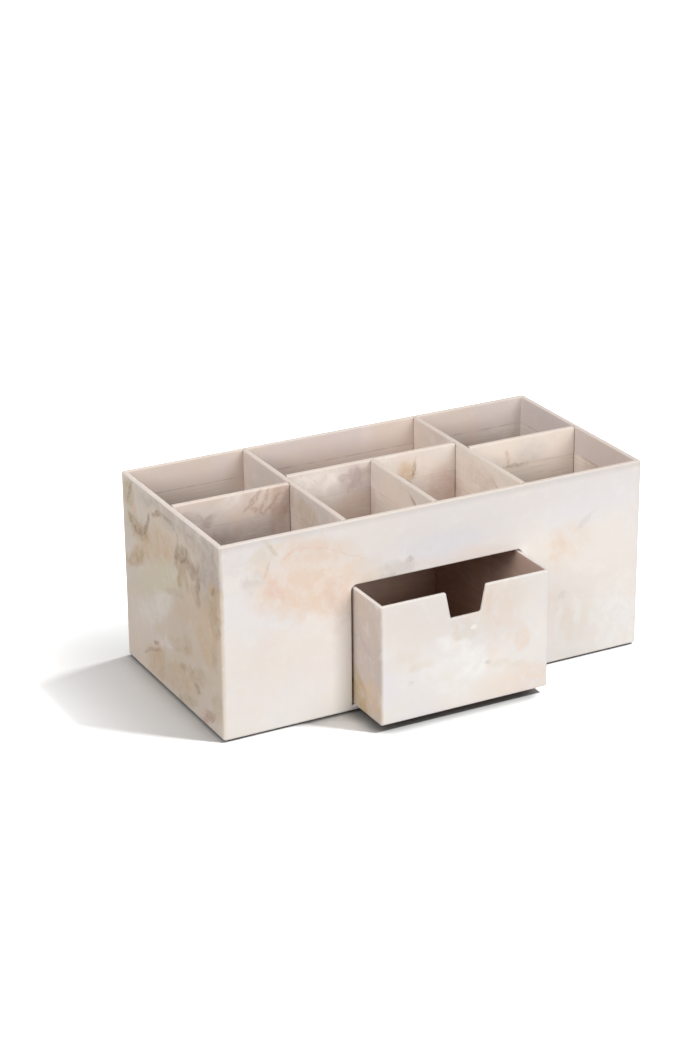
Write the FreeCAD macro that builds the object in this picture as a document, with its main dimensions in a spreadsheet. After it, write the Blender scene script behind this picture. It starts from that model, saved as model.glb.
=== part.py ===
import FreeCAD, Part
import os
import re
import Sketcher

# Desk organiser made as a wrapped greyboard box: a case with seven open compartments, and one
# drawer that slides out of the front. All board edges are covered by paper, so every wall is
# board with a sheet of paper on each face.
#
# Axes: +X to the right, +Y to the back, +Z up. The origin is the middle of the case's footprint,
# on the desk. Lengths are millimetres. The drawer stands pulled out by drawer_pull.

# Driving dimensions: alias, value, meaning.
SIZES = (
    ("case_length", 250.0, "outside, left to right"),
    ("case_depth", 122.0, "outside, front to back"),
    ("case_height", 107.0, "outside, from the underside paper to the rim"),
    ("case_board", 2.5, "greyboard of the case"),
    ("case_paper", 0.25, "paper on each face of that board"),
    ("case_corner_radius", 1.5, "upright outside corners"),
    ("case_rim_radius", 0.9, "both edges of the rim and of the divider tops"),
    ("case_sole_radius", 1.2, "bottom outside edges"),
    ("case_turn_in", 15.5, "wrap folded over the rim, down the inside"),
    ("base_turn_in", 12.0, "wrap folded under the base"),
    ("felt_thickness", 1.0, "base sheet"),
    ("felt_inset", 2.0, "base sheet's edge, in from the case's faces"),
    ("felt_corner_radius", 3.0, "corners of the base sheet"),
    ("bay_width", 103.0, "between the papered faces of the bay panels"),
    ("bay_height", 68.5, "from the floor to the underside of the shelf"),
    ("side_front_depth", 58.8, "front side compartments, front to back"),
    ("shelf_front_depth", 68.5, "front shallow compartments, front to back"),
    ("opening_side_lip", 0.5, "front wall standing over the bay, each side"),
    ("opening_top_lip", 0.5, "front wall hanging below the shelf"),
    ("opening_radius", 3.0, "top corners of the drawer opening"),
    ("drawer_side_gap", 1.2, "opening to drawer, each side"),
    ("drawer_top_gap", 1.2, "drawer to the top of the opening"),
    ("drawer_floor_gap", 0.3, "drawer to the bay floor"),
    ("drawer_back_gap", 1.0, "closed drawer to the back wall"),
    ("drawer_pull", 29.0, "how far the drawer stands out"),
    ("drawer_board", 1.5, "board of the drawer"),
    ("drawer_paper", 0.2, "paper on each face of that board"),
    ("drawer_corner_radius", 1.0, "upright outside corners"),
    ("drawer_rim_radius", 0.5, "paper over both edges of the rim and of the notch"),
    ("drawer_sole_radius", 0.8, "bottom outside edges"),
    ("drawer_turn_in", 12.0, "wrap folded over the rim, down the inside"),
    ("notch_top_width", 24.0, "finger notch at the rim"),
    ("notch_bottom_width", 18.0, "finger notch at its bottom"),
    ("notch_depth", 15.0, "finger notch, down from the rim"),
    ("notch_lip_radius", 1.0, "where the notch meets the rim"),
    ("notch_radius", 1.2, "bottom corners of the notch"),
)

# A rounding takes at most these shares of the wall and of the corner that it runs along, and
# over a square board edge this many times the paper's thickness, so that the paper covers it.
WALL_SHARE = 0.45
CORNER_SHARE = 0.9
PAPER_SHARE = 2.5

# Sizes and places that follow from the driving dimensions.
DERIVED = {
    "case_wall": "case_board + 2 * case_paper",
    "case_left": "-case_length / 2",
    "case_right": "case_length / 2",
    "case_front": "-case_depth / 2",
    "case_back": "case_depth / 2",
    "case_bottom": "felt_thickness",
    "case_floor": "case_bottom + case_wall",
    "case_top": "case_bottom + case_height",
    "case_rim_limit": f"min({WALL_SHARE} * case_wall; {CORNER_SHARE} * case_corner_radius)",
    "case_rim_round": "min(case_rim_radius; case_rim_limit)",
    "case_sole_round": f"min(case_sole_radius; {CORNER_SHARE} * case_corner_radius)",
    "room_left": "case_left + case_wall",
    "room_front": "case_front + case_wall",
    "room_depth": "case_depth - 2 * case_wall",
    "opening_width": "bay_width - 2 * opening_side_lip",
    "opening_height": "bay_height - opening_top_lip",
    "panel_centre": "(bay_width + case_wall) / 2",
    "side_width": "case_length / 2 - 2 * case_wall - bay_width / 2",
    "side_centre": "room_left + side_width / 2",
    "shelf_bottom": "case_floor + bay_height",
    "shelf_top": "shelf_bottom + case_wall",
    "drawer_wall": "drawer_board + 2 * drawer_paper",
    "drawer_length": "opening_width - 2 * drawer_side_gap",
    "drawer_depth": "case_wall + room_depth - drawer_back_gap",
    "drawer_height": "opening_height - drawer_top_gap - drawer_floor_gap",
    "drawer_left": "-drawer_length / 2",
    "drawer_right": "drawer_length / 2",
    "drawer_front": "case_front - drawer_pull",
    "drawer_back": "drawer_front + drawer_depth",
    "drawer_bottom": "case_floor + drawer_floor_gap",
    "drawer_top": "drawer_bottom + drawer_height",
    "drawer_rim_limit": f"min({PAPER_SHARE} * drawer_paper; {CORNER_SHARE} * drawer_corner_radius)",
    "drawer_rim_round": "min(drawer_rim_radius; drawer_rim_limit)",
    "drawer_sole_round": f"min(drawer_sole_radius; {CORNER_SHARE} * drawer_corner_radius)",
    "notch_slope": "(notch_top_width - notch_bottom_width) / (2 * notch_depth)",
}

ALIASES = {alias for alias, value, meaning in SIZES}
TOLERANCE = 1e-3


def formula(text):
    """An expression for FreeCAD: derived names are written out, and aliases point at the sheet."""
    def expand(match):
        word = match.group(0)
        if word in DERIVED:
            return f"({formula(DERIVED[word])})"
        return f"Sizes.{word}" if word in ALIASES else word
    return re.sub(r"[a-z_]+", expand, text)


def value(thing, text):
    """The present value of a formula, in millimetres."""
    return float(thing.evalExpression(formula(text)))


def bind(thing, **expressions):
    """Bind properties to formulas; a double underscore in a name stands for a dot."""
    for name, text in expressions.items():
        thing.setExpression(name.replace("__", "."), formula(text))


def fill_sheet(doc):
    sheet = doc.addObject("Spreadsheet::Sheet", "Sizes")
    for row, (alias, size, meaning) in enumerate(SIZES, start=1):
        sheet.set(f"A{row}", alias)
        sheet.set(f"B{row}", str(size))
        sheet.set(f"C{row}", meaning)
        sheet.setAlias(f"B{row}", alias)
    doc.recompute()


# --- Features of one body -------------------------------------------------------------------

def new_body(doc, name, place):
    """A body whose own origin lies at a place given as three formulas."""
    body = doc.addObject("PartDesign::Body", name)
    x, y, z = place
    bind(body, Placement__Base__x=x, Placement__Base__y=y, Placement__Base__z=z)
    return body


def outline(body, name, plane, low_width, high_width, height, up="0", out="0"):
    """A sketch of a rectangle or an even trapezium, centred across its plane.

    Its lower side lies up from the plane's own level axis, and out along the plane's normal.
    """
    sketch = body.newObject("Sketcher::SketchObject", name)
    support = next(each for each in body.Origin.OriginFeatures if each.Role == plane)
    sketch.AttachmentSupport = [(support, "")]
    sketch.MapMode = "FlatFace"
    bind(sketch, AttachmentOffset__Base__y=up, AttachmentOffset__Base__z=out)
    corners = [FreeCAD.Vector(x, y, 0) for x, y in ((-1, 0), (1, 0), (2, 1), (-2, 1))]
    for corner, following in zip(corners, corners[1:] + corners[:1]):
        sketch.addGeometry(Part.LineSegment(corner, following), False)
    low, right, high, left = range(len(corners))
    start, end, level_axis, upright_axis = 1, 2, -1, -2
    for line, following in ((low, right), (right, high), (high, left), (left, low)):
        sketch.addConstraint(Sketcher.Constraint("Coincident", line, end, following, start))
    for line in (low, high):
        sketch.addConstraint(
            Sketcher.Constraint("Symmetric", line, start, line, end, upright_axis))
    sketch.addConstraint(Sketcher.Constraint("PointOnObject", low, start, level_axis))
    for label, kind, line, first, second, text in (
            ("low_width", "DistanceX", low, start, end, low_width),
            ("high_width", "DistanceX", high, end, start, high_width),
            ("height", "DistanceY", right, start, end, height)):
        number = sketch.addConstraint(Sketcher.Constraint(kind, line, first, line, second, 1.0))
        sketch.renameConstraint(number, label)
        sketch.setExpression(f"Constraints.{label}", formula(text))
    return sketch


def pad(body, sketch, length):
    feature = body.newObject("PartDesign::Pad", f"{body.Name}_pad")
    feature.Profile = sketch
    bind(feature, Length=length)
    body.Document.recompute()


def pocket(body, sketch, length, upwards=False):
    """Cut against the sketch's normal, or along it; a pocket that removes nothing is an error."""
    before = body.Shape.Volume
    feature = body.newObject("PartDesign::Pocket", f"{sketch.Name}_pocket")
    feature.Profile = sketch
    feature.Reversed = upwards
    bind(feature, Length=length)
    body.Document.recompute()
    if body.Shape.Volume > before - TOLERANCE:
        raise RuntimeError(f"{feature.Name} cuts nothing")


def fillet(body, name, radius, chosen):
    """Round the edges of the body for which chosen(bounding box of the edge) is true."""
    base = body.Tip
    names = [f"Edge{number}" for number, edge in enumerate(base.Shape.Edges, start=1)
             if chosen(edge.BoundBox)]
    feature = body.newObject("PartDesign::Fillet", f"{body.Name}_{name}")
    feature.Base = (base, names)
    bind(feature, Radius=radius)
    body.Document.recompute()


def is_upright(box):
    return box.ZLength > TOLERANCE and max(box.XLength, box.YLength) < TOLERANCE


def lies_at(height):
    """A test for the edges that lie flat at this height of the body."""
    return lambda box: max(abs(box.ZMin - height), abs(box.ZMax - height)) < TOLERANCE


def goes_through(box, wall):
    """True for a straight edge that runs from front to back through a wall."""
    return TOLERANCE < box.YLength < 2 * wall and max(box.XLength, box.ZLength) < TOLERANCE


def block(doc, name, size, place):
    """A plain block: size is width, depth, height; place is the front middle of its bottom."""
    width, depth, height = size
    body = new_body(doc, name, place)
    pad(body, outline(body, f"{name}_plan", "XY_Plane", width, width, depth), height)
    return body


def bar(doc, name, size, place, radius):
    """A block whose two long top edges are rounded."""
    body = block(doc, name, size, place)
    width, depth, height = (value(body, text) for text in size)
    at_top = lies_at(height)
    if width > depth:
        fillet(body, "top", radius, lambda box: at_top(box) and box.XLength > TOLERANCE)
    else:
        fillet(body, "top", radius, lambda box: at_top(box) and box.YLength > TOLERANCE)
    return body


# --- Booleans between sub-parts -------------------------------------------------------------

def common(doc, name, first, second):
    result = doc.addObject("Part::Common", name)
    result.Base = first
    result.Tool = second
    result.Refine = True
    return result


def cut(doc, name, base, tools):
    tool = tools[0]
    if len(tools) > 1:
        tool = doc.addObject("Part::MultiFuse", f"{name}_tools")
        tool.Shapes = tools
    result = doc.addObject("Part::Cut", name)
    result.Base = base
    result.Tool = tool
    result.Refine = True
    return result


def region(doc, name, low, high):
    """A box between two corners, each given as three formulas."""
    box = doc.addObject("Part::Box", name)
    x, y, z = low
    bind(box, Placement__Base__x=x, Placement__Base__y=y, Placement__Base__z=z)
    length, width, height = (f"({far}) - ({near})" for near, far in zip(low, high))
    bind(box, Length=length, Width=width, Height=height)
    return box


# --- Wrapped trays: the case and the drawer -------------------------------------------------

def tray(doc, name, part, side, room, bottom, floor, top):
    """An open-topped box inside the outside faces of a part, "case" or "drawer".

    side and room are how far its outer and inner faces lie in from those of the part; bottom,
    floor and top are heights above the part's underside. The body's own origin is the middle of
    the part's front face, at the underside.
    """
    body = new_body(doc, name, ("0", f"{part}_front", f"{part}_bottom"))
    width = f"{part}_length - 2 * ({side})"
    depth = f"{part}_depth - 2 * ({side})"
    plan = outline(body, f"{name}_plan", "XY_Plane", width, width, depth, up=side, out=bottom)
    pad(body, plan, f"({top}) - ({bottom})")
    width = f"{part}_length - 2 * ({room})"
    depth = f"{part}_depth - 2 * ({room})"
    plan = outline(body, f"{name}_room", "XY_Plane", width, width, depth, up=room, out=floor)
    pocket(body, plan, f"({top}) - ({floor})", upwards=True)
    return body


def round_outside(body, part, skin):
    """Round a tray's upright corners and its bottom edges, under a skin of paper or none."""
    outside = value(body, f"{part}_length / 2 - {skin}") - TOLERANCE
    fillet(body, "corners", f"{part}_corner_radius - {skin}",
           lambda box: is_upright(box) and max(box.XMax, -box.XMin) > outside)
    fillet(body, "sole", f"{part}_sole_round - {skin}", lies_at(value(body, skin)))


def cut_opening(body, skin):
    """The drawer opening in the case's front wall: square at the sill, rounded at the top.

    The board's opening is larger by the skin of paper that is folded through it.
    """
    width = f"opening_width + 2 * {skin}"
    height = f"opening_height + 2 * {skin}"
    sketch = outline(body, f"{body.Name}_opening", "XZ_Plane", width, width, height,
                     up=f"case_wall - {skin}")
    pocket(body, sketch, "case_wall + case_board")
    wall = value(body, "case_wall")
    fillet(body, "opening_corners", f"opening_radius + {skin}",
           lambda box: goes_through(box, wall) and box.ZMin > wall + TOLERANCE)


def cut_notch(body, skin):
    """The finger notch in the drawer's front wall: a trapezium with four rounded corners.

    The board's notch is the same shape, set back square to its sides by the skin of paper. The
    cut starts above the rim, where the slope of its sides makes it wider.
    """
    widen = f"2 * {skin} * (sqrt(1 + notch_slope ^ 2) - notch_slope)"
    spare = "drawer_board"
    sketch = outline(body, f"{body.Name}_notch", "XZ_Plane",
                     f"notch_bottom_width + {widen}",
                     f"notch_top_width + {widen} + 2 * {spare} * notch_slope",
                     f"notch_depth + {spare}", up=f"drawer_height - notch_depth - {skin}")
    pocket(body, sketch, "drawer_wall + drawer_board")
    wall = value(body, "drawer_wall")
    middle = value(body, "drawer_height - notch_depth / 2")
    fillet(body, "notch_corners", f"notch_radius + {skin}",
           lambda box: goes_through(box, wall) and box.ZMin < middle)
    fillet(body, "notch_lips", f"notch_lip_radius - {skin}",
           lambda box: goes_through(box, wall) and box.ZMin > middle)


def round_rim(body, part, skin):
    """Round both edges of a tray's rim, and of the notch in it."""
    wall = value(body, f"{part}_wall")
    lowest = value(body, f"{part}_height - {skin}") - TOLERANCE
    if part == "drawer":
        lowest -= value(body, "notch_depth")
    fillet(body, "rim", f"{part}_rim_round - {skin}",
           lambda box: box.ZMin > lowest and not goes_through(box, wall))


def wrapped_tray(doc, part, cut_front, names, soft_board, sheets=()):
    """Boards, outer wrap and lining of the case or the drawer.

    The envelope is the whole wall, papers and board together, with its opening or notch. The core
    is the board alone, one sheet of paper thinner all round, and is divided into boards at its
    butt joints. The inlay is the inner paper below the folded rim: the lining is the part of it
    inside the envelope. The wrap is the rest of the envelope, less the sheets laid into it.
    A soft board is rounded under its paper along the rim; the other kind keeps square edges.
    """
    paper = f"{part}_paper"
    lined = f"{part}_paper + {part}_board"
    wall = f"{part}_wall"
    height = f"{part}_height"
    envelope = tray(doc, f"{part}_envelope", part, "0", wall, "0", wall, height)
    core = tray(doc, f"{part}_core", part, paper, lined, paper, lined, f"{height} - {paper}")
    for body, skin in ((envelope, "0"), (core, paper)):
        round_outside(body, part, skin)
        cut_front(body, skin)
        if soft_board or body is envelope:
            round_rim(body, part, skin)
    inlay = tray(doc, f"{part}_inlay", part, lined, wall, lined, wall,
                 f"{height} - {part}_turn_in")
    left, right, front, back, bottom, top = (
        f"{part}_{side}" for side in ("left", "right", "front", "back", "bottom", "top"))
    inner_left, inner_front, base = (f"{side} + {lined}" for side in (left, front, bottom))
    inner_right, inner_back = (f"{side} - ({lined})" for side in (right, back))
    regions = {
        "base": ((left, front, bottom), (right, back, base)),
        "front": ((left, front, base), (right, inner_front, top)),
        "back": ((left, inner_back, base), (right, back, top)),
        "left": ((left, inner_front, base), (inner_left, inner_back, top)),
        "right": ((inner_right, inner_front, base), (right, inner_back, top)),
    }
    nodes = [common(doc, names[side], core, region(doc, f"{names[side]}_region", *corners))
             for side, corners in regions.items()]
    nodes.append(common(doc, names["lining"], envelope, inlay))
    nodes.append(cut(doc, names["wrap"], envelope, [core, inlay, *sheets]))
    return nodes


# --- Dividers, shelf and base ---------------------------------------------------------------

def divider(doc, name, along, length, place):
    """A papered board that stands up to the rim: board, lining round its foot, cap over its top.

    along is the axis that it runs along, "x" or "y"; place is the front middle of its bottom.
    """
    x, y, bottom = place
    height = f"case_top - ({bottom})"
    lined_height = f"{height} - case_turn_in"
    if along == "x":
        wall_plan, board_plan = (length, "case_wall"), (length, "case_board")
        board_y = f"{y} + case_paper"
    else:
        wall_plan, board_plan = ("case_wall", length), ("case_board", length)
        board_y = y
    board = bar(doc, f"{name}_board", (*board_plan, f"{height} - 2 * case_paper"),
                (x, board_y, f"{bottom} + case_paper"), "case_rim_round - case_paper")
    foot = block(doc, f"{name}_foot", (*wall_plan, lined_height), place)
    crest = bar(doc, f"{name}_crest", (*wall_plan, "case_turn_in"),
                (x, y, "case_top - case_turn_in"), "case_rim_round")
    lining = cut(doc, f"{name}_lining", foot, [board])
    cap = cut(doc, f"{name}_cap", crest, [board])
    return [board, lining, cap]


def lattice(doc):
    """The dividers: two bay panels, one long divider beside each, and two above the shelf."""
    nodes = []
    nodes += divider(doc, "left_bay_panel", "y", "room_depth",
                     ("-panel_centre", "room_front", "case_floor"))
    nodes += divider(doc, "right_bay_panel", "y", "room_depth",
                     ("panel_centre", "room_front", "case_floor"))
    side_y = "room_front + side_front_depth"
    nodes += divider(doc, "left_divider", "x", "side_width", ("side_centre", side_y, "case_floor"))
    nodes += divider(doc, "right_divider", "x", "side_width",
                     ("-side_centre", side_y, "case_floor"))
    nodes += divider(doc, "middle_divider", "x", "bay_width",
                     ("0", "room_front + shelf_front_depth", "shelf_top"))
    nodes += divider(doc, "short_divider", "y", "shelf_front_depth",
                     ("0", "room_front", "shelf_top"))
    return nodes


def shelf(doc):
    """The board over the drawer bay, with paper round it."""
    board = block(doc, "shelf_board",
                  ("bay_width", "room_depth - 2 * case_paper", "case_board"),
                  ("0", "room_front + case_paper", "shelf_bottom + case_paper"))
    sleeve = block(doc, "shelf_sleeve", ("bay_width", "room_depth", "case_wall"),
                   ("0", "room_front", "shelf_bottom"))
    return [board, cut(doc, "shelf_wrap", sleeve, [board])]


def base_sheets(doc):
    """The paper that fills the underside between the folded edges, and the felt below it."""
    sheet = block(doc, "underside_sheet",
                  ("case_length - 2 * base_turn_in", "case_depth - 2 * base_turn_in",
                   "case_paper"),
                  ("0", "case_front + base_turn_in", "case_bottom"))
    felt = block(doc, "base_felt",
                 ("case_length - 2 * felt_inset", "case_depth - 2 * felt_inset",
                  "felt_thickness"),
                 ("0", "case_front + felt_inset", "0"))
    fillet(felt, "corners", "felt_corner_radius", is_upright)
    return [sheet, felt]


CASE_NAMES = {"base": "base_board", "front": "front_board", "back": "back_board",
              "left": "left_end_board", "right": "right_end_board",
              "wrap": "outer_wrap", "lining": "inner_lining"}
DRAWER_NAMES = {"base": "drawer_bottom_board", "front": "drawer_front_board",
                "back": "drawer_back_board", "left": "drawer_left_board",
                "right": "drawer_right_board",
                "wrap": "drawer_wrap", "lining": "drawer_lining"}


def build(doc):
    """Make every sub-part and return those that are pieces of the object."""
    fill_sheet(doc)
    underside_sheet, felt = base_sheets(doc)
    nodes = [underside_sheet, felt, *lattice(doc), *shelf(doc)]
    nodes += wrapped_tray(doc, "case", cut_opening, CASE_NAMES, True, [underside_sheet])
    nodes += wrapped_tray(doc, "drawer", cut_notch, DRAWER_NAMES, False)
    doc.recompute()
    return nodes


def check(doc, nodes):
    """Stop if any object failed, or if a piece isn't one valid solid."""
    for thing in doc.Objects:
        if {"Invalid", "Error"} & set(thing.State):
            raise RuntimeError(f"{thing.Name}: {thing.State}")
    for node in nodes:
        shape = node.Shape
        if shape.isNull() or not shape.isValid() or len(shape.Solids) != 1:
            raise RuntimeError(f"{node.Label} isn't one valid solid")


def main():
    doc = FreeCAD.newDocument("desk_organiser")
    nodes = build(doc)
    check(doc, nodes)
    os.makedirs("parts", exist_ok=True)
    for node in nodes:
        node.Shape.exportStep(f"parts/{node.Label}.step")
    print(len(nodes), "pieces written")


main()
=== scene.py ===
"""Looks of a paper-covered desk organiser with one pull-out drawer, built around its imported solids.

Lengths are in millimetres until a mesh is made; meshes and lamps are in metres.
"""

from __future__ import annotations

import logging
from abc import ABC, abstractmethod
from dataclasses import dataclass, field
from enum import Enum
from functools import reduce
from typing import Dict, List, Optional, Sequence, Tuple, Union

import bmesh
import bpy
import numpy as np
from mathutils import Matrix, Vector


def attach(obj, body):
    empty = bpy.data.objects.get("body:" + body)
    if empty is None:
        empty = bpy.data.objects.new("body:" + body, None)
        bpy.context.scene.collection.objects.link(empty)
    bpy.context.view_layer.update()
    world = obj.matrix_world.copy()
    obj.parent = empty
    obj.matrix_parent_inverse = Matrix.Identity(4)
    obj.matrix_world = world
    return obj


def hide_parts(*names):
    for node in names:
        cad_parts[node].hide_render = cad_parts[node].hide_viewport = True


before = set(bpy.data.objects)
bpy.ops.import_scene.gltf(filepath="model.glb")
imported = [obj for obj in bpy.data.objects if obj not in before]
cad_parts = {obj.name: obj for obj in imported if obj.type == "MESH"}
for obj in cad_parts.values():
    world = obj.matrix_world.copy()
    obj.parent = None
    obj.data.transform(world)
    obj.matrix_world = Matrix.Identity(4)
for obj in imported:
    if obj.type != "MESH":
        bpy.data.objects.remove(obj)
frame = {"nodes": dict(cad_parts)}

LOG = logging.getLogger("organiser")
MM = 0.001

Colour = Tuple[float, float, float, float]
Place = Tuple[float, float, float]
Key = Union[int, str]
Heights = Union[float, np.ndarray]


class Body(Enum):
    """The two bodies that pieces ride on."""

    CASE = "case"
    DRAWER = "drawer"


class Slot(Enum):
    """The record's material slots."""

    PRINTED = "printed_paper"
    LINING = "lining_paper"
    BOARD = "greyboard"
    BASE = "base_sheet"


def tint(red: float, green: float, blue: float) -> Colour:
    """Turns a colour written from 0 to 255, as on a screen, into the linear one that shaders use.

    Args:
        red, green, blue: the colour's three parts.

    Returns:
        The linear colour, opaque.
    """
    share = np.array([red, green, blue]) / 255.0
    linear = np.where(share <= 0.04045, share / 12.92, ((share + 0.055) / 1.055) ** 2.4)
    return (float(linear[0]), float(linear[1]), float(linear[2]), 1.0)


BLACK: Colour = (0.0, 0.0, 0.0, 1.0)
WHITE: Colour = (1.0, 1.0, 1.0, 1.0)


def link(name: str, data: Optional[bpy.types.ID]) -> bpy.types.Object:
    """Makes an object of its data, at the origin, and puts it into the scene."""
    made = bpy.data.objects.new(name, data)
    bpy.context.scene.collection.objects.link(made)
    return made


# ---------------------------------------------------------------- shader maths


class Wire:
    """One value, vector or colour running through a shader tree, with arithmetic for values."""

    def __init__(self, tree: Tree, socket: Optional[bpy.types.NodeSocket]) -> None:
        """Holds the socket and the tree that it is in."""
        self.tree = tree
        self.socket = socket

    def __add__(self, other: Feed) -> Wire:
        """This plus other."""
        return self.tree.maths("ADD", self, other)

    def __radd__(self, other: Feed) -> Wire:
        """Other plus this."""
        return self.tree.maths("ADD", other, self)

    def __sub__(self, other: Feed) -> Wire:
        """This minus other."""
        return self.tree.maths("SUBTRACT", self, other)

    def __rsub__(self, other: Feed) -> Wire:
        """Other minus this."""
        return self.tree.maths("SUBTRACT", other, self)

    def __mul__(self, other: Feed) -> Wire:
        """This times other."""
        return self.tree.maths("MULTIPLY", self, other)

    def __rmul__(self, other: Feed) -> Wire:
        """Other times this."""
        return self.tree.maths("MULTIPLY", other, self)

    def __abs__(self) -> Wire:
        """This without its sign."""
        return self.tree.maths("ABSOLUTE", self, 0.0)


Feed = Union[Wire, float, Sequence[float]]


@dataclass(frozen=True)
class Grain:
    """A noise: its features' size, its octaves, how strong the fine ones are, and its seed."""

    size: float
    detail: float = 2.0
    rough: float = 0.5
    seed: float = 0.0


@dataclass(frozen=True)
class Sway:
    """How a pattern wanders: noise of a size moves it by up to about reach millimetres."""

    size: float
    reach: float
    seed: float = 0.0
    detail: float = 2.0


@dataclass(frozen=True)
class Veil:
    """A share that goes smoothly from start to end while a noise goes from low to high."""

    grain: Grain
    low: float
    high: float
    start: float = 0.0
    end: float = 1.0

    def over(self, tree: Tree, place: Wire) -> Wire:
        """The share at a place."""
        return tree.step(tree.noise(place, self.grain), self.low, self.high, self.start, self.end)


class Tree:
    """The node tree of a material or a world, filled by expressions."""

    def __init__(self, owner: Union[bpy.types.Material, bpy.types.World]) -> None:
        """Empties the owner's tree and holds it."""
        owner.use_nodes = True
        self.nodes = owner.node_tree.nodes
        self.links = owner.node_tree.links
        self.nodes.clear()

    def node(
        self,
        kind: str,
        settings: Optional[Dict[str, object]] = None,
        sockets: Optional[Dict[Key, Feed]] = None,
        output: Key = 0,
    ) -> Wire:
        """Adds one node.

        Args:
            kind: Blender's name of the node's type.
            settings: properties, set before the sockets.
            sockets: values or wires, by the socket's name or number.
            output: the output that the returned wire holds.

        Returns:
            A wire from that output, or one without a socket where the node has none.
        """
        made = self.nodes.new(kind)
        for name, value in (settings or {}).items():
            setattr(made, name, value)
        for key, feed in (sockets or {}).items():
            if isinstance(feed, Wire):
                self.links.new(feed.socket, made.inputs[key])
            else:
                made.inputs[key].default_value = feed
        return Wire(self, made.outputs[output] if len(made.outputs) else None)

    def maths(self, operation: str, first: Feed, second: Feed) -> Wire:
        """Adds one Math node."""
        return self.node("ShaderNodeMath", {"operation": operation}, {0: first, 1: second})

    def most(self, *values: Feed) -> Feed:
        """The greatest of some values."""
        return reduce(lambda one, other: self.maths("MAXIMUM", one, other), values)

    def least(self, *values: Feed) -> Feed:
        """The least of some values."""
        return reduce(lambda one, other: self.maths("MINIMUM", one, other), values)

    def ray(self, kind: str) -> Wire:
        """1 for light rays of a kind, and 0 for the others."""
        return self.node("ShaderNodeLightPath", output=kind)

    def millimetres(self) -> Wire:
        """The place on the piece in millimetres, from its object coordinates."""
        place = self.node("ShaderNodeTexCoord", output="Object")
        return self.vector("SCALE", place, scale=1.0 / MM)

    def vector(self, operation: str, first: Feed, second: Feed = (0, 0, 0), scale: float = 1.0) -> Wire:
        """Adds one Vector Math node.

        Args:
            operation: the node's operation; LENGTH gives its value output.
            first: the first vector.
            second: the second one, which SCALE doesn't use.
            scale: what SCALE multiplies by.

        Returns:
            The node's result.
        """
        feeds: Dict[Key, Feed] = {0: first, "Scale": scale} if operation == "SCALE" else {0: first, 1: second}
        return self.node("ShaderNodeVectorMath", {"operation": operation}, feeds, int(operation == "LENGTH"))

    def noise(self, place: Wire, grain: Grain, output: Key = 0) -> Wire:
        """Soft noise from 0 to 1.

        Args:
            place: where it is looked up; its seed moves that far off.
            grain: the noise's sizes.
            output: 0 for the value and "Color" for three unrelated ones.

        Returns:
            The noise.
        """
        moved = self.vector("ADD", place, (grain.seed * 13.7, grain.seed * 7.9, grain.seed * 21.3))
        sockets = {"Vector": moved, "Scale": 1.0 / grain.size, "Detail": grain.detail}
        sockets["Roughness"] = grain.rough
        return self.node("ShaderNodeTexNoise", None, sockets, output)

    def warp(self, place: Wire, *sways: Sway) -> Wire:
        """Moves a place by each sway in turn: by its noise less a half, times twice its reach.

        Args:
            place: the place to move.
            sways: the sways, the widest first.

        Returns:
            The moved place.
        """
        for sway in sways:
            drift = self.noise(place, Grain(sway.size, sway.detail, seed=sway.seed), "Color")
            centred = self.vector("SUBTRACT", drift, (0.5, 0.5, 0.5))
            place = self.vector("ADD", place, self.vector("SCALE", centred, scale=2.0 * sway.reach))
        return place

    def step(self, value: Feed, low: float, high: float, start: float = 0.0, end: float = 1.0) -> Wire:
        """Goes smoothly from start to end while value goes from low to high."""
        settings = {"interpolation_type": "SMOOTHSTEP"}
        return self.node("ShaderNodeMapRange", settings, {0: value, 1: low, 2: high, 3: start, 4: end})

    def parts(self, place: Wire) -> Tuple[Wire, Wire, Wire]:
        """The x, y and z of a place."""
        made = self.node("ShaderNodeSeparateXYZ", None, {0: place}).socket.node
        return tuple(Wire(self, made.outputs[number]) for number in range(3))

    def beyond(self, place: Wire, middle: Place, half: Place) -> Wire:
        """How far a place is from a box: the length of what is left of it past the box's half sizes.

        Args:
            place: the place.
            middle: the box's middle.
            half: its half sizes.

        Returns:
            The distance in millimetres, 0 inside the box.
        """
        off = self.vector("ABSOLUTE", self.vector("SUBTRACT", place, middle))
        past = self.vector("MAXIMUM", self.vector("SUBTRACT", off, half), (0.0, 0.0, 0.0))
        return self.vector("LENGTH", past)

    def mix(self, share: Feed, first: Feed, second: Feed, kind: str = "MIX") -> Wire:
        """Mixes two colours by share."""
        settings = {"data_type": "RGBA", "blend_type": kind, "clamp_factor": True}
        return self.node("ShaderNodeMix", settings, {0: share, 6: first, 7: second}, 2)

    def bump(self, height: Wire, strength: float, rise: float) -> Wire:
        """A normal from a height of 0 to 1 that stands for rise millimetres."""
        sockets = {"Strength": strength, "Distance": rise * MM, "Height": height}
        return self.node("ShaderNodeBump", None, sockets)

    def surface(self, sockets: Dict[Key, Feed]) -> Wire:
        """A surface shader with some of its sockets set."""
        return self.node("ShaderNodeBsdfPrincipled", None, sockets)

    def close(self, shader: Wire, kind: str = "ShaderNodeOutputMaterial") -> None:
        """Joins the finished shader to the output."""
        self.node(kind, None, {"Surface": shader})


# ---------------------------------------------------------------- finishes


@dataclass(frozen=True)
class Finish(ABC):
    """One finish: its name, its record slot and how its shader is made."""

    name: str
    slot: Slot

    @abstractmethod
    def shade(self, tree: Tree) -> Wire:
        """Makes the finish's shader in tree and returns it."""

    def material(self) -> bpy.types.Material:
        """The Blender material, made once and then found by its name."""
        made = bpy.data.materials.get(self.name)
        if made is None:
            made = bpy.data.materials.new(self.name)
            tree = Tree(made)
            tree.close(self.shade(tree))
        return made


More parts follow.
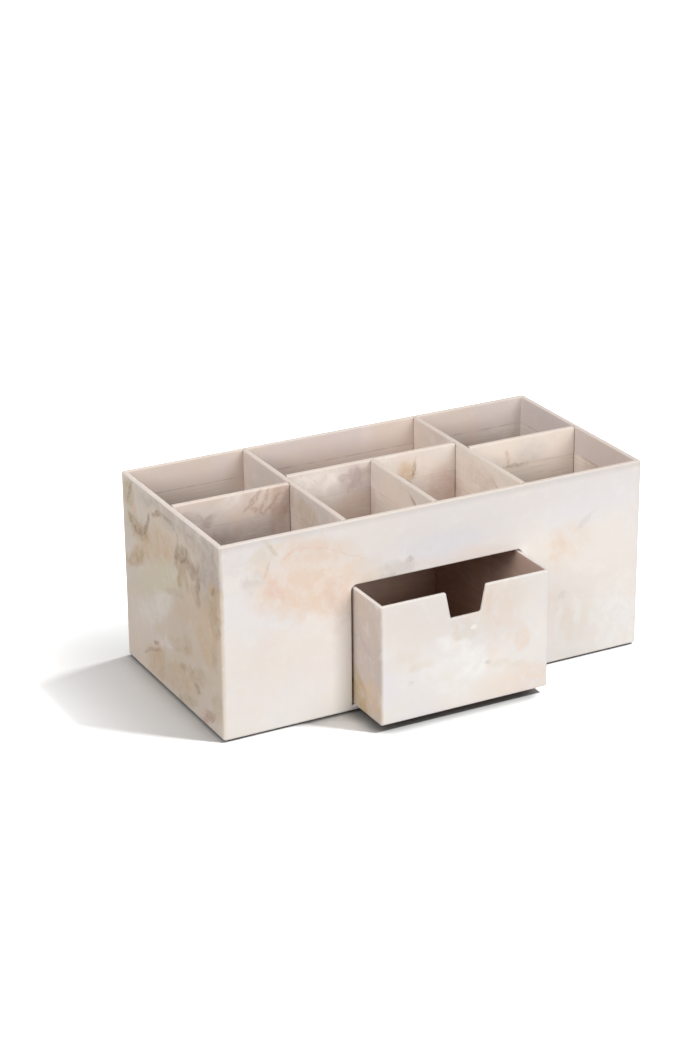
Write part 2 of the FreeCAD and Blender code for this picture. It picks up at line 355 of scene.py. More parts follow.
class Marble(Enum):
    """The marble's tones, in the order in which they are laid: grounds first, then patches, then veins."""

    SAND = tint(222, 205, 186)
    FAWN = tint(215, 197, 179)
    STONE = tint(192, 180, 172)
    # dun is print on the case's left end, and painted shade over the whole drawer side
    DUN_PRINT_AND_SHADE = tint(182, 163, 151)
    LILAC = tint(235, 231, 231)
    HAZE = tint(229, 227, 233)
    CREAM = tint(239, 232, 225)
    BLUSH = tint(238, 225, 217)
    MOSS = tint(222, 213, 190)
    PEACH = tint(237, 220, 205)
    APRICOT = tint(234, 210, 191)
    # pearl is laid only as painted light over the right compartments
    PEARL_PAINTED_LIGHT = tint(249, 237, 225)
    SMOKE = tint(216, 208, 203)
    ROSY = tint(218, 196, 185)
    MAUVE = tint(190, 175, 170)
    CLAY = tint(196, 172, 158)
    TAN = tint(217, 190, 161)
    OLIVE = tint(194, 172, 140)
    MILK = tint(247, 244, 240)
    GREY = tint(205, 199, 197)
    ROSE = tint(230, 199, 186)
    RUST = tint(198, 152, 132)
    BROWN = tint(158, 132, 110)


@dataclass(frozen=True)
class Cloud:
    """A soft patch of colour in the marbling: an ellipsoid whose edge is frayed by noise.

    centre and reach are millimetres; soft is the share of the reach over which it fades; tilt turns the
    ellipsoid by degrees about each axis; frontal says that it lies on a sheet's front, and not on its
    other sides.
    """

    centre: Place
    reach: Place
    tone: Marble
    strength: float
    soft: float
    tilt: Place
    frontal: bool

    @property
    def thin(self) -> bool:
        """Whether it is a vein rather than a patch."""
        return min(self.reach) < 2.7

    @property
    def whole(self) -> bool:
        """Whether it tones a whole side, which noise then doesn't break up."""
        return sorted(self.reach)[1] >= 44.0


@dataclass(frozen=True)
class Side:
    """A flat side that patches lie on.

    corner is the place that they are measured from and depth how far they reach in and out. Across runs
    to the right on a side that faces forwards, and to the front on one that faces left.
    """

    corner: Place
    depth: float
    faces_left: bool = False
    frontal: bool = False

    def clouds(self, rows: Dict[Marble, Sequence[Sequence[float]]]) -> Tuple[Cloud, ...]:
        """The side's patches.

        Args:
            rows: the patches of each tone: how far across and up the middle is, the half width and
                height, and where they differ from the usual ones, the strength, the turn in degrees and
                how soft it is.

        Returns:
            The patches, in the order of the rows.
        """
        return tuple(self._cloud(tone, *row) for tone, some in rows.items() for row in some)

    def _cloud(
        self, tone: Marble, across: float, up: float, wide: float, tall: float, strength: float = 0.6,
        turn: float = 0.0, soft: float = 0.5,
    ) -> Cloud:
        """One patch, turned anticlockwise as one looks at the side."""
        x, y, z = self.corner
        if self.faces_left:
            centre, reach, tilt = (x, y - across, z + up), (self.depth, wide, tall), (-turn, 0.0, 0.0)
        else:
            centre, reach, tilt = (x + across, y, z + up), (wide, self.depth, tall), (0.0, -turn, 0.0)
        return Cloud(centre, reach, tone, strength, soft, tilt, self.frontal)


CASE_CLOUDS = Side((-125.0, -61.0, 1.0), 44.0, frontal=True).clouds({
    Marble.LILAC: (
        (8, 84, 26, 30, 0.8), (37, 9, 16, 10, 0.7), (135, 92, 52, 22, 0.85), (203, 95, 40, 20, 0.75),
    ),
    Marble.HAZE: ((130, 83, 24, 9, 0.7),),
    Marble.CREAM: ((85, 97, 24, 12), (52, 36, 22, 16, 0.7), (8, 30, 18, 40, 0.9), (226, 50, 30, 28, 0.7)),
    Marble.BLUSH: ((32, 30, 36, 26, 0.35), (142, 74, 32, 4)),
    Marble.MOSS: ((26, 97, 10, 7, 0.6, 40),),
    Marble.PEACH: (
        (52, 80, 42, 20, 0.8, -12), (204, 68, 17, 12, 0.6, 30), (207, 20, 3.4, 12, 0.6, 6),
        (217, 20, 3, 10, 0.45, -4), (222, 16, 12, 8, 0.25),
    ),
    Marble.APRICOT: ((48, 73, 30, 15, 0.7, -8), (52, 96, 22, 8, 0.6, -8), (198, 66, 5, 8, 0.4, -30)),
    Marble.SMOKE: (
        (125, 108, 160, 26, 0.25), (12, 100, 30, 12, 0.3), (100, 75, 11, 3.5, 0.7, -6),
        (18, 84, 8, 5, 0.6, 30),
    ),
    Marble.ROSY: ((66, 62, 9, 15, 0.35),),
    Marble.OLIVE: ((28, 101, 7, 1.2, 0.28, -50), (26, 90, 6, 1.2, 0.3, 60)),
    Marble.MILK: (
        (125, 2, 160, 30, 0.35), (200, 22, 3.2, 15, 0.6, -6), (212, 28, 3, 11, 0.55, 8), (238, 14, 26, 26),
    ),
    Marble.GREY: ((95, 73, 5, 2, 0.5), (216, 80, 8, 1.8, 0.35, 40), (201, 39, 3.5, 1.8, 0.35, 20)),
    Marble.ROSE: (
        (31, 79, 5, 9, 0.5, 15), (40, 96, 6, 1, 0.7, 35), (50, 96.5, 8, 0.8, 0.6, -6),
        (65, 92.5, 9, 0.8, 0.45, -22), (78, 87.5, 7, 0.7, 0.3, -20),
    ),
    Marble.BROWN: ((108, 78, 3, 1.6, 0.35),),
}) + Side((-125.0, 61.0, 1.0), 40.0, True).clouds({
    Marble.SAND: ((60, 52, 95, 95, 0.72),),
    Marble.FAWN: ((98, 56, 48, 46, 0.66),),
    Marble.STONE: ((110, 87, 17, 24, 0.8), (60, 102, 45, 6, 0.45)),
    Marble.DUN_PRINT_AND_SHADE: ((88, 98, 9, 5, 0.4),),
    Marble.CREAM: ((38, 43, 30, 9, 0.7, 28),),
    Marble.BLUSH: ((50, 26, 28, 3, 0.8, 22), (14, 22, 24, 18, 0.6, 20)),
    Marble.MOSS: ((52, 66, 24, 10, 0.9, 15), (34, 56, 24, 8, 0.6, 28), (9, 97, 9, 10, 0.8, 30)),
    Marble.PEACH: ((12, 9, 30, 14, 0.9),),
    Marble.CLAY: ((24, 81, 10, 4, 0.6, 8),),
    Marble.TAN: (
        (44, 80, 26, 11, 0.75, 22), (26, 69, 24, 6, 0.7, 25), (84, 57, 20, 8, 0.4, 10),
        (105, 54, 13, 19, 0.7, 0, 0.3), (114, 74, 9, 11, 0.7, 50), (42, 10, 18, 11, 0.7, 5, 0.4),
        (70, 14, 24, 11, 0.6, 10),
    ),
    Marble.OLIVE: (
        (14, 62, 16, 5, 0.7, 20), (19, 82, 14, 7, 0.85), (9, 96, 7, 9, 0.5, 40), (72, 77, 5, 10, 0.85, 12),
        (79, 74, 4, 9, 0.75, 25), (91, 70, 5, 6, 0.7, 20), (79, 36, 6, 5, 0.65, 40),
        (68, 33, 14, 4, 0.45, 10), (113, 45, 4, 9, 0.4, 10), (118, 62, 3, 5, 0.8), (115, 70, 8, 13, 0.65),
        (90, 24, 12, 6, 0.55, 10), (78, 3, 12, 3.5, 0.55, 20), (114, 16, 6, 9, 0.4, 10),
    ),
    Marble.ROSE: ((15, 92, 3, 3.4, 1), (119, 70, 1.6, 3, 0.8), (102, 4.5, 7, 4, 0.6, 10)),
    Marble.RUST: ((101, 5, 8, 2.2, 0.4, 25), (110, 8, 4, 2, 0.35, 45), (82, 4, 4, 2, 0.3, 30)),
    Marble.BROWN: (
        (22, 81, 10, 2.2, 0.5, 5), (12, 84, 5, 2, 0.5, -40), (12, 99, 9, 1.8, 0.5, 60),
        (32, 88, 9, 2, 0.75, 58), (44, 97, 12, 1.5, 0.6, 24), (60, 101, 9, 1.4, 0.45, 2),
        (69, 97, 6, 1.6, 0.5, -50), (76, 87, 9, 5.5, 0.8, 15), (70, 83, 2.4, 9, 0.6, -10),
        (86, 84, 12, 5, 0.6, -8), (94, 78, 3, 10, 0.75), (66, 61, 12, 2.4, 0.2, 14),
        (113, 80, 4, 1.5, 0.6, 50), (34, 15, 12, 1.5, 0.4, 18), (39, 21, 3, 1.5, 0.8, 10),
        (92, 16, 4, 3, 0.5), (73, 22, 4, 2.4, 0.35, 20), (105, 6, 7, 3.2, 0.55, 40),
    ),
})

# the left, middle and right divider's front faces, then what runs from front to back
DIVIDER_CLOUDS = Side((0.0, 0.8, 0.0), 9.0).clouds({
    Marble.CREAM: ((-89, 103, 8, 4, 0.7),),
    Marble.SMOKE: ((-107, 98, 17, 8, 0.7),),
    Marble.ROSY: ((-70, 100, 13, 9, 0.75),),
    Marble.MAUVE: ((-110, 100, 8, 3, 0.8, -20), (-102, 96, 6, 3, 0.7, 25), (-88, 84, 40, 8, 0.5)),
    # clay beside the left bay panel: brown print, darkened further as painted shade in that corner
    Marble.CLAY: ((-61, 96, 6, 16, 0.9),),
    Marble.BROWN: (
        (-76, 103, 9, 1.6, 0.42, 50), (-70, 102, 9, 1.5, 0.42, 60), (-66, 99, 8, 1.5, 0.42, 40),
        (-74, 97, 7, 1.3, 0.35, -30),
    ),
}) + Side((0.0, 10.5, 0.0), 9.0).clouds({
    Marble.CREAM: ((-32, 99, 20, 10, 0.9), (12, 100, 14, 9, 0.7)),
    Marble.SMOKE: ((-20, 94, 8, 3, 0.8, 10),),
    Marble.ROSY: ((-8, 84, 14, 9, 0.7), (42, 86, 13, 14, 0.7)),
    Marble.MAUVE: ((-12, 99, 9, 6, 0.9, 20),),
    Marble.TAN: ((22, 97, 6, 6, 0.8, 20),),
    Marble.BROWN: ((25, 99, 6, 1.2, 0.6, 70), (20, 93, 6, 1.2, 0.4, -30)),
}) + Side((0.0, 0.8, 0.0), 9.0).clouds({
    Marble.CREAM: ((68, 97, 14, 12, 0.5),),
    Marble.SMOKE: ((94, 99, 10, 8, 0.5),),
    Marble.ROSE: ((79.5, 98, 1.3, 6, 0.9),),
    Marble.BROWN: ((84, 93, 9, 1.2, 0.45, -4),),
}) + Side((26.0, 0.0, 0.0), 36.0, True).clouds({
    # painted light: a pale pool laid over the faces of the right middle compartment
    Marble.CREAM: ((24, 90, 50, 60, 0.7),),
}) + Side((88.0, 0.0, 0.0), 50.0, True).clouds({
    # painted light: a pale pool laid over the faces of the right compartments
    Marble.PEARL_PAINTED_LIGHT: ((30, 90, 60, 60, 0.85),),
}) + Side((-1.5, 0.0, 0.0), 3.0, True).clouds({
    Marble.PEACH: ((20, 96, 22, 12),),
    Marble.BROWN: ((40, 97, 14, 1.4, 0.5, -35),),
}) + Side((-54.5, 0.0, 0.0), 3.0, True).clouds({
    Marble.OLIVE: ((22, 92, 22, 12, 0.45, -20),),
}) + Side((51.5, 0.0, 0.0), 3.0, True).clouds({
    Marble.ROSY: ((15, 96, 18, 9, 0.5),),
    Marble.BROWN: ((38, 94, 12, 1.4, 0.4, -30),),
}) + Side((122.0, 0.0, 0.0), 3.0, True).clouds({
    Marble.CLAY: ((30, 97, 26, 14, 0.7),),
})

DRAWER_CLOUDS = Side((-49.8, -90.0, 4.3), 44.0, frontal=True).clouds({
    Marble.LILAC: ((45, 26, 34, 22, 0.7, 20),),
    Marble.CREAM: ((15, 55, 32, 16, 0.8), (30, 12, 30, 12, 0.5), (71, 29, 8, 8, 0.8, 20), (90, 30, 12, 20)),
    Marble.MOSS: (
        (25, 29, 8, 3, 0.5), (50, 43, 6, 5, 0.35, 0, 0.3), (70, 19, 6, 2.8, 0.7, -10),
        (78, 16, 6, 2.8, 0.5, -15),
    ),
    Marble.PEACH: (
        (12, 35, 10, 6, 0.3), (69, 52, 14, 22, 0.75), (55, 50, 12, 2.8, 0.7), (63, 32, 3, 20, 0.7, 4),
        (80, 7, 26, 9, 0.75, -4, 0.4),
    ),
    Marble.APRICOT: (
        (20, 33, 4, 6, 0.15, 10, 0.4), (62, 58, 3, 9, 0.4), (44, 43, 2.5, 8, 0.5, 12),
        (82, 31, 5, 9, 0.5, 0, 0.4),
    ),
    # painted shade: the whole-side smoke tone darkens the top of the drawer's front
    Marble.SMOKE: ((46, 68, 66, 34, 0.35),),
    Marble.MILK: (
        (52, 24, 12, 10, 0.8, -30), (44, 36, 12, 6, 0.6, -20), (50, 20, 30, 17, 0.4, -20),
        (54.5, 43.5, 1.8, 1.5, 1, 0, 0.3),
    ),
    Marble.GREY: ((64, 22.5, 2, 1.6, 0.5), (17, 21, 2, 1.5, 0.3)),
}) + Side((-49.8, 0.0, 0.0), 6.0, True).clouds({
    # the drawer's left side: the whole-side dun tone is painted shade for that side's lesser light; the
    # smaller patches are print
    Marble.DUN_PRINT_AND_SHADE: ((60, 38, 60, 60, 0.68),),
    Marble.MAUVE: ((70, 44, 12, 3, 0.7, -10),),
    Marble.TAN: ((79, 15, 14, 11, 0.75, 25),),
    Marble.OLIVE: ((66, 14, 8, 14, 1, 25, 0.25),),
})


@dataclass(frozen=True)
class Palette:
    """The five tones of a marbled sheet."""

    ground: Colour
    cool: Colour
    warm: Colour
    pale: Colour
    deep: Colour


OUTSIDE = Palette(
    Marble.CREAM.value, Marble.LILAC.value, Marble.BLUSH.value, Marble.MILK.value, Marble.PEACH.value
)
# the inner papers' own tones, darkened further as painted shade for the lesser light deep in the hollows
SHADED_INSIDE = Palette(
    tint(223, 209, 199), tint(216, 206, 200), tint(224, 203, 189), tint(243, 233, 225), tint(212, 190, 177)
)
# the drawer lining's tones, darkened to brown as painted shade for the drawer's dim inside
SHADED_DRAWER_INSIDE = Palette(
    tint(203, 176, 159), tint(197, 174, 162), tint(203, 170, 150), tint(211, 188, 174), tint(187, 156, 138)
)


@dataclass(frozen=True)
class Covered:
    """The box that a sheet covers: its half sizes in x and y, its middle in y, its top and its wall."""

    half_x: float
    half_y: float
    middle_y: float
    top: float
    wall: float

    @property
    def middle(self) -> Place:
        """The middle of its underside."""
        return (0.0, self.middle_y, 0.0)


# how the print wanders: its wide clouds, its frayed patches, its veins and its mottling
DRIFT = (Sway(52.0, 15.0, 1.0), Sway(11.0, 3.2, 2.0, 4.0))
FRAY = (Sway(20.0, 6.0, 5.0), Sway(6.5, 4.0, 6.0, 5.0), Sway(1.8, 0.6, 7.0, 3.0))
THREADING = (Sway(24.0, 4.0, 5.0), Sway(5.0, 1.6, 6.0, 4.0), Sway(1.3, 0.7, 7.0, 3.0))
MOTTLING = Sway(9.0, 3.5, 20.0, 3.0)
# where each coat shows
COOL_CLOUDS = Veil(Grain(46.0, 3.0, 0.5, 3.0), 0.44, 0.62)
WARM_CLOUDS = Veil(Grain(34.0, 4.0, 0.55, 4.0), 0.50, 0.68)
BLOTCHES = Veil(Grain(15.0, 5.0, 0.55, 10.0), 0.53, 0.62)
BLOTCHED_AREAS = Veil(Grain(60.0, 2.0, 0.5, 11.0), 0.42, 0.6)
CELLS = Veil(Grain(6.0, 6.0, 0.62, 15.0), 0.34, 0.66, 0.45, 1.2)
HATCHING = Veil(Grain(1.0, 4.0, 0.7, 16.0), 0.36, 0.62, 0.2, 1.0)
THREADS = Grain(4.2, 5.0, 0.62, 17.0)
MOTTLES = Grain(7.5, 6.0, 0.60, 21.0)
STREAKS = Grain(0.9, 3.0, 0.6, 3.0)
BROKEN_HEM = Veil(Grain(7.0, 3.0, 0.6, 12.0), 0.38, 0.62, 0.25, 1.0)
PAPER_FIBRE = Grain(0.45, 3.0, 0.6, 8.0)
SATIN = Grain(6.0, 3.0, 0.5, 9.0)


class Print:
    """A marbled sheet's colour while it is laid, coat by coat."""

    def __init__(self, tree: Tree, paper: MarbledPaper) -> None:
        """Starts with the paper's ground."""
        self.tree = tree
        self.paper = paper
        self.place = tree.millimetres()
        self.colour: Feed = paper.palette.ground

    def lay(self, share: Feed, tone: Feed) -> None:
        """Lays a tone over the colour, by share."""
        self.colour = self.tree.mix(share, self.colour, tone)

    def dim(self, share: Feed, tone: Feed) -> None:
        """Multiplies the colour by a tone, by share."""
        self.lay(share, self.tree.mix(1.0, self.colour, tone, "MULTIPLY"))

    def clouds(self) -> None:
        """Wide cool and warm clouds, then milky blotches with one firm edge, as in quartz."""
        tree, palette = self.tree, self.paper.palette
        drift = tree.warp(self.place, *DRIFT)
        self.lay(COOL_CLOUDS.over(tree, drift), palette.cool)
        self.lay(WARM_CLOUDS.over(tree, drift) * 0.62, palette.warm)
        self.lay(BLOTCHES.over(tree, drift) * BLOTCHED_AREAS.over(tree, drift) * 0.38, palette.pale)

    def patches(self) -> None:
        """The placed patches: ellipsoids of a place that noise has frayed, broken up by finer noise.

        Veins are frayed less, so that they hold together. They are hatched by noise drawn out along a
        slant, and by the fine threads along which another noise is close to a half.
        """
        tree = self.tree
        place, ahead, aside = self._folded()
        frayed, threaded = tree.warp(place, *FRAY), tree.warp(place, *THREADING)
        cells = CELLS.over(tree, frayed)
        sockets = {"Vector": threaded, "Rotation": (0.7, 0.7, 0.0), "Scale": (1.0, 0.28, 0.28)}
        slant = tree.node("ShaderNodeMapping", None, sockets)
        thread = abs(tree.noise(threaded, THREADS) - 0.5)
        hatch = tree.most(HATCHING.over(tree, slant), tree.step(thread, 0.004, 0.03, 1.7, 0.0))
        for tone in Marble:
            shares = []
            for cloud in (cloud for cloud in self.paper.clouds if cloud.tone is tone):
                share = self._share(cloud, threaded if cloud.thin else frayed)
                if not cloud.whole:
                    share = share * (hatch if cloud.thin else cells)
                shares.append(share * (ahead if cloud.frontal else aside))
            if shares:
                self.lay(tree.most(*shares), tone.value)

    def _folded(self) -> Tuple[Wire, Feed, Feed]:
        """Turns the back and the right end half round onto the front and the left end, so that they
        repeat them.

        Returns:
            The place; how much of it lies on the front below the rim; and how much lies on the left end,
            which runs a little round the corner. A sheet that covers no box gives the place as it is, and
            1 for both.
        """
        box, tree = self.paper.box, self.tree
        if box is None:
            return self.place, 1.0, 1.0
        off = tree.vector("SUBTRACT", self.place, box.middle)
        across, along, up = tree.parts(off)
        past = [tree.step(off_side, half - 0.6, half - 0.5) for off_side, half in
                ((across, box.half_x), (along, box.half_y))]
        turn = 1.0 - tree.most(*past) * 2.0
        turned = tree.node("ShaderNodeCombineXYZ", None, {0: turn, 1: turn, 2: 1.0})
        off = tree.vector("MULTIPLY", off, turned)
        across, along, _ = tree.parts(off)
        below = tree.step(up, box.top - 0.9, box.top - 0.4, 1.0, 0.0)
        left = tree.step(across, 0.3 - box.half_x, box.wall * 0.95 - box.half_x, 1.0, 0.0)
        front = tree.step(along, 0.5 - box.half_y, 0.9 - box.half_y, 1.0, 0.0)
        return tree.vector("ADD", off, box.middle), front * (1.0 - left) * below, left * below

    def _share(self, cloud: Cloud, place: Wire) -> Wire:
        """How much of a patch shows: its strength within its ellipsoid, fading over soft.

        Args:
            cloud: the patch.
            place: the frayed place.

        Returns:
            The share.
        """
        outer = 1.0 + cloud.soft * 0.6
        sockets = {
            "Vector": place,
            "Location": cloud.centre,
            "Rotation": tuple(float(np.radians(angle)) for angle in cloud.tilt),
            "Scale": tuple(extent * outer for extent in cloud.reach),
        }
        within = self.tree.node("ShaderNodeMapping", {"vector_type": "TEXTURE"}, sockets)
        settings = {"gradient_type": "SPHERICAL"}
        ball = self.tree.node("ShaderNodeTexGradient", settings, {"Vector": within}, "Fac")
        return self.tree.step(ball, 0.0, 1.6 * cloud.soft / outer, 0.0, cloud.strength)

    def mottle(self) -> None:
        """Small soft mottling, a little paler and a little deeper than what it lies on."""
        tree, palette = self.tree, self.paper.palette
        grain = tree.noise(tree.warp(self.place, MOTTLING), MOTTLES)
        self.lay(tree.step(grain, 0.52, 0.70) * 0.20, palette.pale)
        self.lay(tree.step(grain, 0.30, 0.48, 0.15, 0.0), palette.deep)

    def turn_in(self) -> None:
        """Darkens the paper as painted shade where it is turned into the hollow, within its half sizes."""
        box = self.paper.box
        if box is not None:
            past_wall = box.wall - 0.2
            hollow = (box.half_x - past_wall, box.half_y - past_wall, 1000.0)
            past = self.tree.beyond(self.place, box.middle, hollow)
            # painted shade inside the hollow: the turned-in paper is multiplied by this tint
            self.dim(self.tree.step(past, 0.0, 0.3, 1.0, 0.0), self.paper.hollow_shade_tint)

    def wear_and_edge_light(self) -> None:
        """Pales the paper along its folded edge, as wear and painted highlight, and dims a box's front a
        little just below it, as painted shade.
        """
        tree, box, brim = self.tree, self.paper.box, self.paper.brim
        if brim is None:
            return
        _, along, up = tree.parts(self.place)
        low, high = brim - 1.1, brim - 0.2
        if box is not None:
            front = tree.step(along, 0.4 - box.half_y, 1.0 - box.half_y, 1.0, 0.0)
            # painted shade on the front just below the fold
            self.dim(tree.step(up, brim - 5.0, brim - 0.8) * front, self.paper.fold_shade_tint)
            low, high = brim - 0.7, brim - 0.1
        # wear and painted highlight: the folded edge is paled
        self.lay(tree.step(up, low, high, 0.0, 0.7), self.paper.brim_wear_and_highlight)


@dataclass(frozen=True)
class MarbledPaper(Finish):
    """Satin paper printed with a pale marble: drifting clouds, milky blotches, mottling and placed patches.

    box is what the sheet covers, where its sides differ, and hollow_shade_tint what its colours are
    multiplied by where it turns into the hollow, as painted shade. brim is the height of a folded edge, paled
    there to brim_wear_and_highlight as wear and painted highlight; fold_shade_tint dims the front just below
    it as painted shade. sheen is its lowest and highest roughness.
    """

    palette: Palette = OUTSIDE
    clouds: Tuple[Cloud, ...] = ()
    box: Optional[Covered] = None
    hollow_shade_tint: Colour = tint(236, 227, 223)
    brim: Optional[float] = None
    # the folded edge's paler tone is wear and painted highlight; the tint below it is painted shade
    brim_wear_and_highlight: Colour = tint(240, 225, 213)
    fold_shade_tint: Colour = tint(241, 240, 239)
    sheen: Tuple[float, float] = (0.50, 0.60)

    def start(self, tree: Tree) -> Print:
        """Starts the sheet's print."""
        return Print(tree, self)

    def shade(self, tree: Tree) -> Wire:
        """Lays the print's coats over each other on satin, fibrous paper.

        Args:
            tree: the material's tree.

        Returns:
            The shader.
        """
        sheet = self.start(tree)
        for coat in (sheet.clouds, sheet.patches, sheet.mottle, sheet.turn_in, sheet.wear_and_edge_light):
            coat()
        sockets = {
            "Base Color": sheet.colour,
            "Roughness": tree.step(tree.noise(sheet.place, SATIN), 0.3, 0.7, *self.sheen),
            "Specular IOR Level": 0.3,
            "Normal": tree.bump(tree.noise(sheet.place, PAPER_FIBRE), 0.35, 0.02),
        }
        return tree.surface(sockets)


class LiningPrint(Print):
    """The print of the lining, with fine level streaks instead of mottling."""

    def mottle(self) -> None:
        """Streaks from noise drawn out level, and a broken shade under the turned-in paper's edge."""
        tree, paper, place = self.tree, self.paper, self.place
        streak = tree.noise(tree.vector("MULTIPLY", place, (0.05, 0.05, 1.0)), STREAKS)
        self.lay(tree.step(streak, 0.46, 0.70) * 0.35, paper.palette.deep)
        self.lay(tree.step(streak, 0.28, 0.46, 0.3, 0.0), paper.palette.pale)
        under = paper.hem + 0.1 - tree.parts(place)[2]
        self.lay(tree.step(under, 0.0, 0.75, 0.4, 0.0) * BROKEN_HEM.over(tree, place), paper.hem_shade)


@dataclass(frozen=True)
class LiningPaper(MarbledPaper):
    """The plainer, more matt paper glued inside, which the turned-in paper shades at hem."""

    palette: Palette = SHADED_INSIDE
    sheen: Tuple[float, float] = (0.56, 0.66)
    hem: float = 92.5
    hem_shade: Colour = tint(150, 130, 120)

    def start(self, tree: Tree) -> Print:
        """Starts the lining's print."""
        return LiningPrint(tree, self)


@dataclass(frozen=True)
class Greyboard(Finish):
    """Bare pressed board: grey with darker and lighter fibres."""

    pale: Colour = tint(150, 142, 132)
    dark: Colour = tint(104, 96, 88)
    fibres: Grain = Grain(0.6, 5.0, 0.7, 1.0)
    cloudiness: Grain = Grain(9.0, 3.0, 0.5, 2.0)

    def shade(self, tree: Tree) -> Wire:
        """Flecks of two grain sizes over a cloudy grey.

        Args:
            tree: the material's tree.

        Returns:
            The shader.
        """
        place = tree.millimetres()
        fleck = tree.noise(tree.vector("MULTIPLY", place, (0.4, 1.0, 1.6)), self.fibres)
        colour = tree.mix(fleck * 0.6 + tree.noise(place, self.cloudiness) * 0.4, self.dark, self.pale)
        return tree.surface({"Base Color": colour, "Roughness": 0.92, "Normal": tree.bump(fleck, 0.6, 0.08)})


@dataclass(frozen=True)
class Felt(Finish):
    """The dark felt sheet underneath: matted fibres with a soft sheen."""

    nap: Colour = tint(52, 49, 48)
    root: Colour = tint(22, 20, 20)
    curl: Sway = Sway(1.6, 1.1, 1.0)

    def shade(self, tree: Tree) -> Wire:
        """Fibres as stretched noise in two directions, over root-dark gaps.

        Args:
            tree: the material's tree.

        Returns:
            The shader.
        """
        curl = tree.warp(tree.millimetres(), self.curl)
        runs = (((1.0, 0.25, 1.0), 2.0), ((0.25, 1.0, 1.0), 3.0))
        both = [
            tree.noise(tree.vector("MULTIPLY", curl, way), Grain(0.35, 3.0, 0.6, seed))
            for way, seed in runs
        ]
        fibre = both[0] * 0.5 + both[1] * 0.5
        sockets = {
            "Base Color": tree.mix(tree.step(fibre, 0.35, 0.65), self.root, self.nap),
            "Roughness": 0.95,
            "Sheen Weight": 0.35,
            "Sheen Roughness": 0.5,
            "Normal": tree.bump(fibre, 0.8, 0.15),
        }
        return tree.surface(sockets)


# ---------------------------------------------------------------- surfaces


def spaced(*marks: Tuple[float, float]) -> np.ndarray:
    """Places along a line: from each mark's start to the next one's, in steps near the mark's own.

    Args:
        marks: where each stretch starts, and its step; the last one's step isn't used.

    Returns:
        The places, in order and each of them once.
    """
    parts = [
        np.linspace(start, end, max(1, round(abs(end - start) / gap)) + 1)
        for (start, gap), (end, _) in zip(marks[:-1], marks[1:])
    ]
    return np.unique(np.round(np.concatenate(parts), 5))


# how far the cut edges of the turned-in paper and of the lining wander, and how far sheets keep apart
HEM_WANDER = 0.18
LINING_WANDER = 0.1
OFF = 0.02


def quarter(stations: int) -> np.ndarray:
    """Angles in radians of even stations over a right angle, the last at its end, none at its start."""
    return np.radians(np.linspace(0.0, 90.0, stations + 1)[1:])


def ripple(walk: np.ndarray, seed: float) -> np.ndarray:
    """A hand-cut edge's wander: four sines of unrelated lengths added up.

    Args:
        walk: distances along the edge.
        seed: what moves each sine along, by its own multiple.

    Returns:
        The wander at each distance, from -1 to 1.
    """
    lengths = np.array([71.0, 29.0, 11.3, 4.9])
    weights = np.array([0.42, 0.28, 0.2, 0.1])
    phase = walk[..., None] * 2 * np.pi / lengths + seed * np.array([1.0, 2.3, 4.1, 7.7])
    return (np.sin(phase) * weights).sum(axis=-1)


def middle_of_faces(grid: np.ndarray) -> np.ndarray:
    """The middle of each face of a grid whose last column joins its first: the mean of its four corners."""
    further = np.roll(grid, -1, axis=1)
    return (grid[:-1] + further[:-1] + grid[1:] + further[1:]) / 4


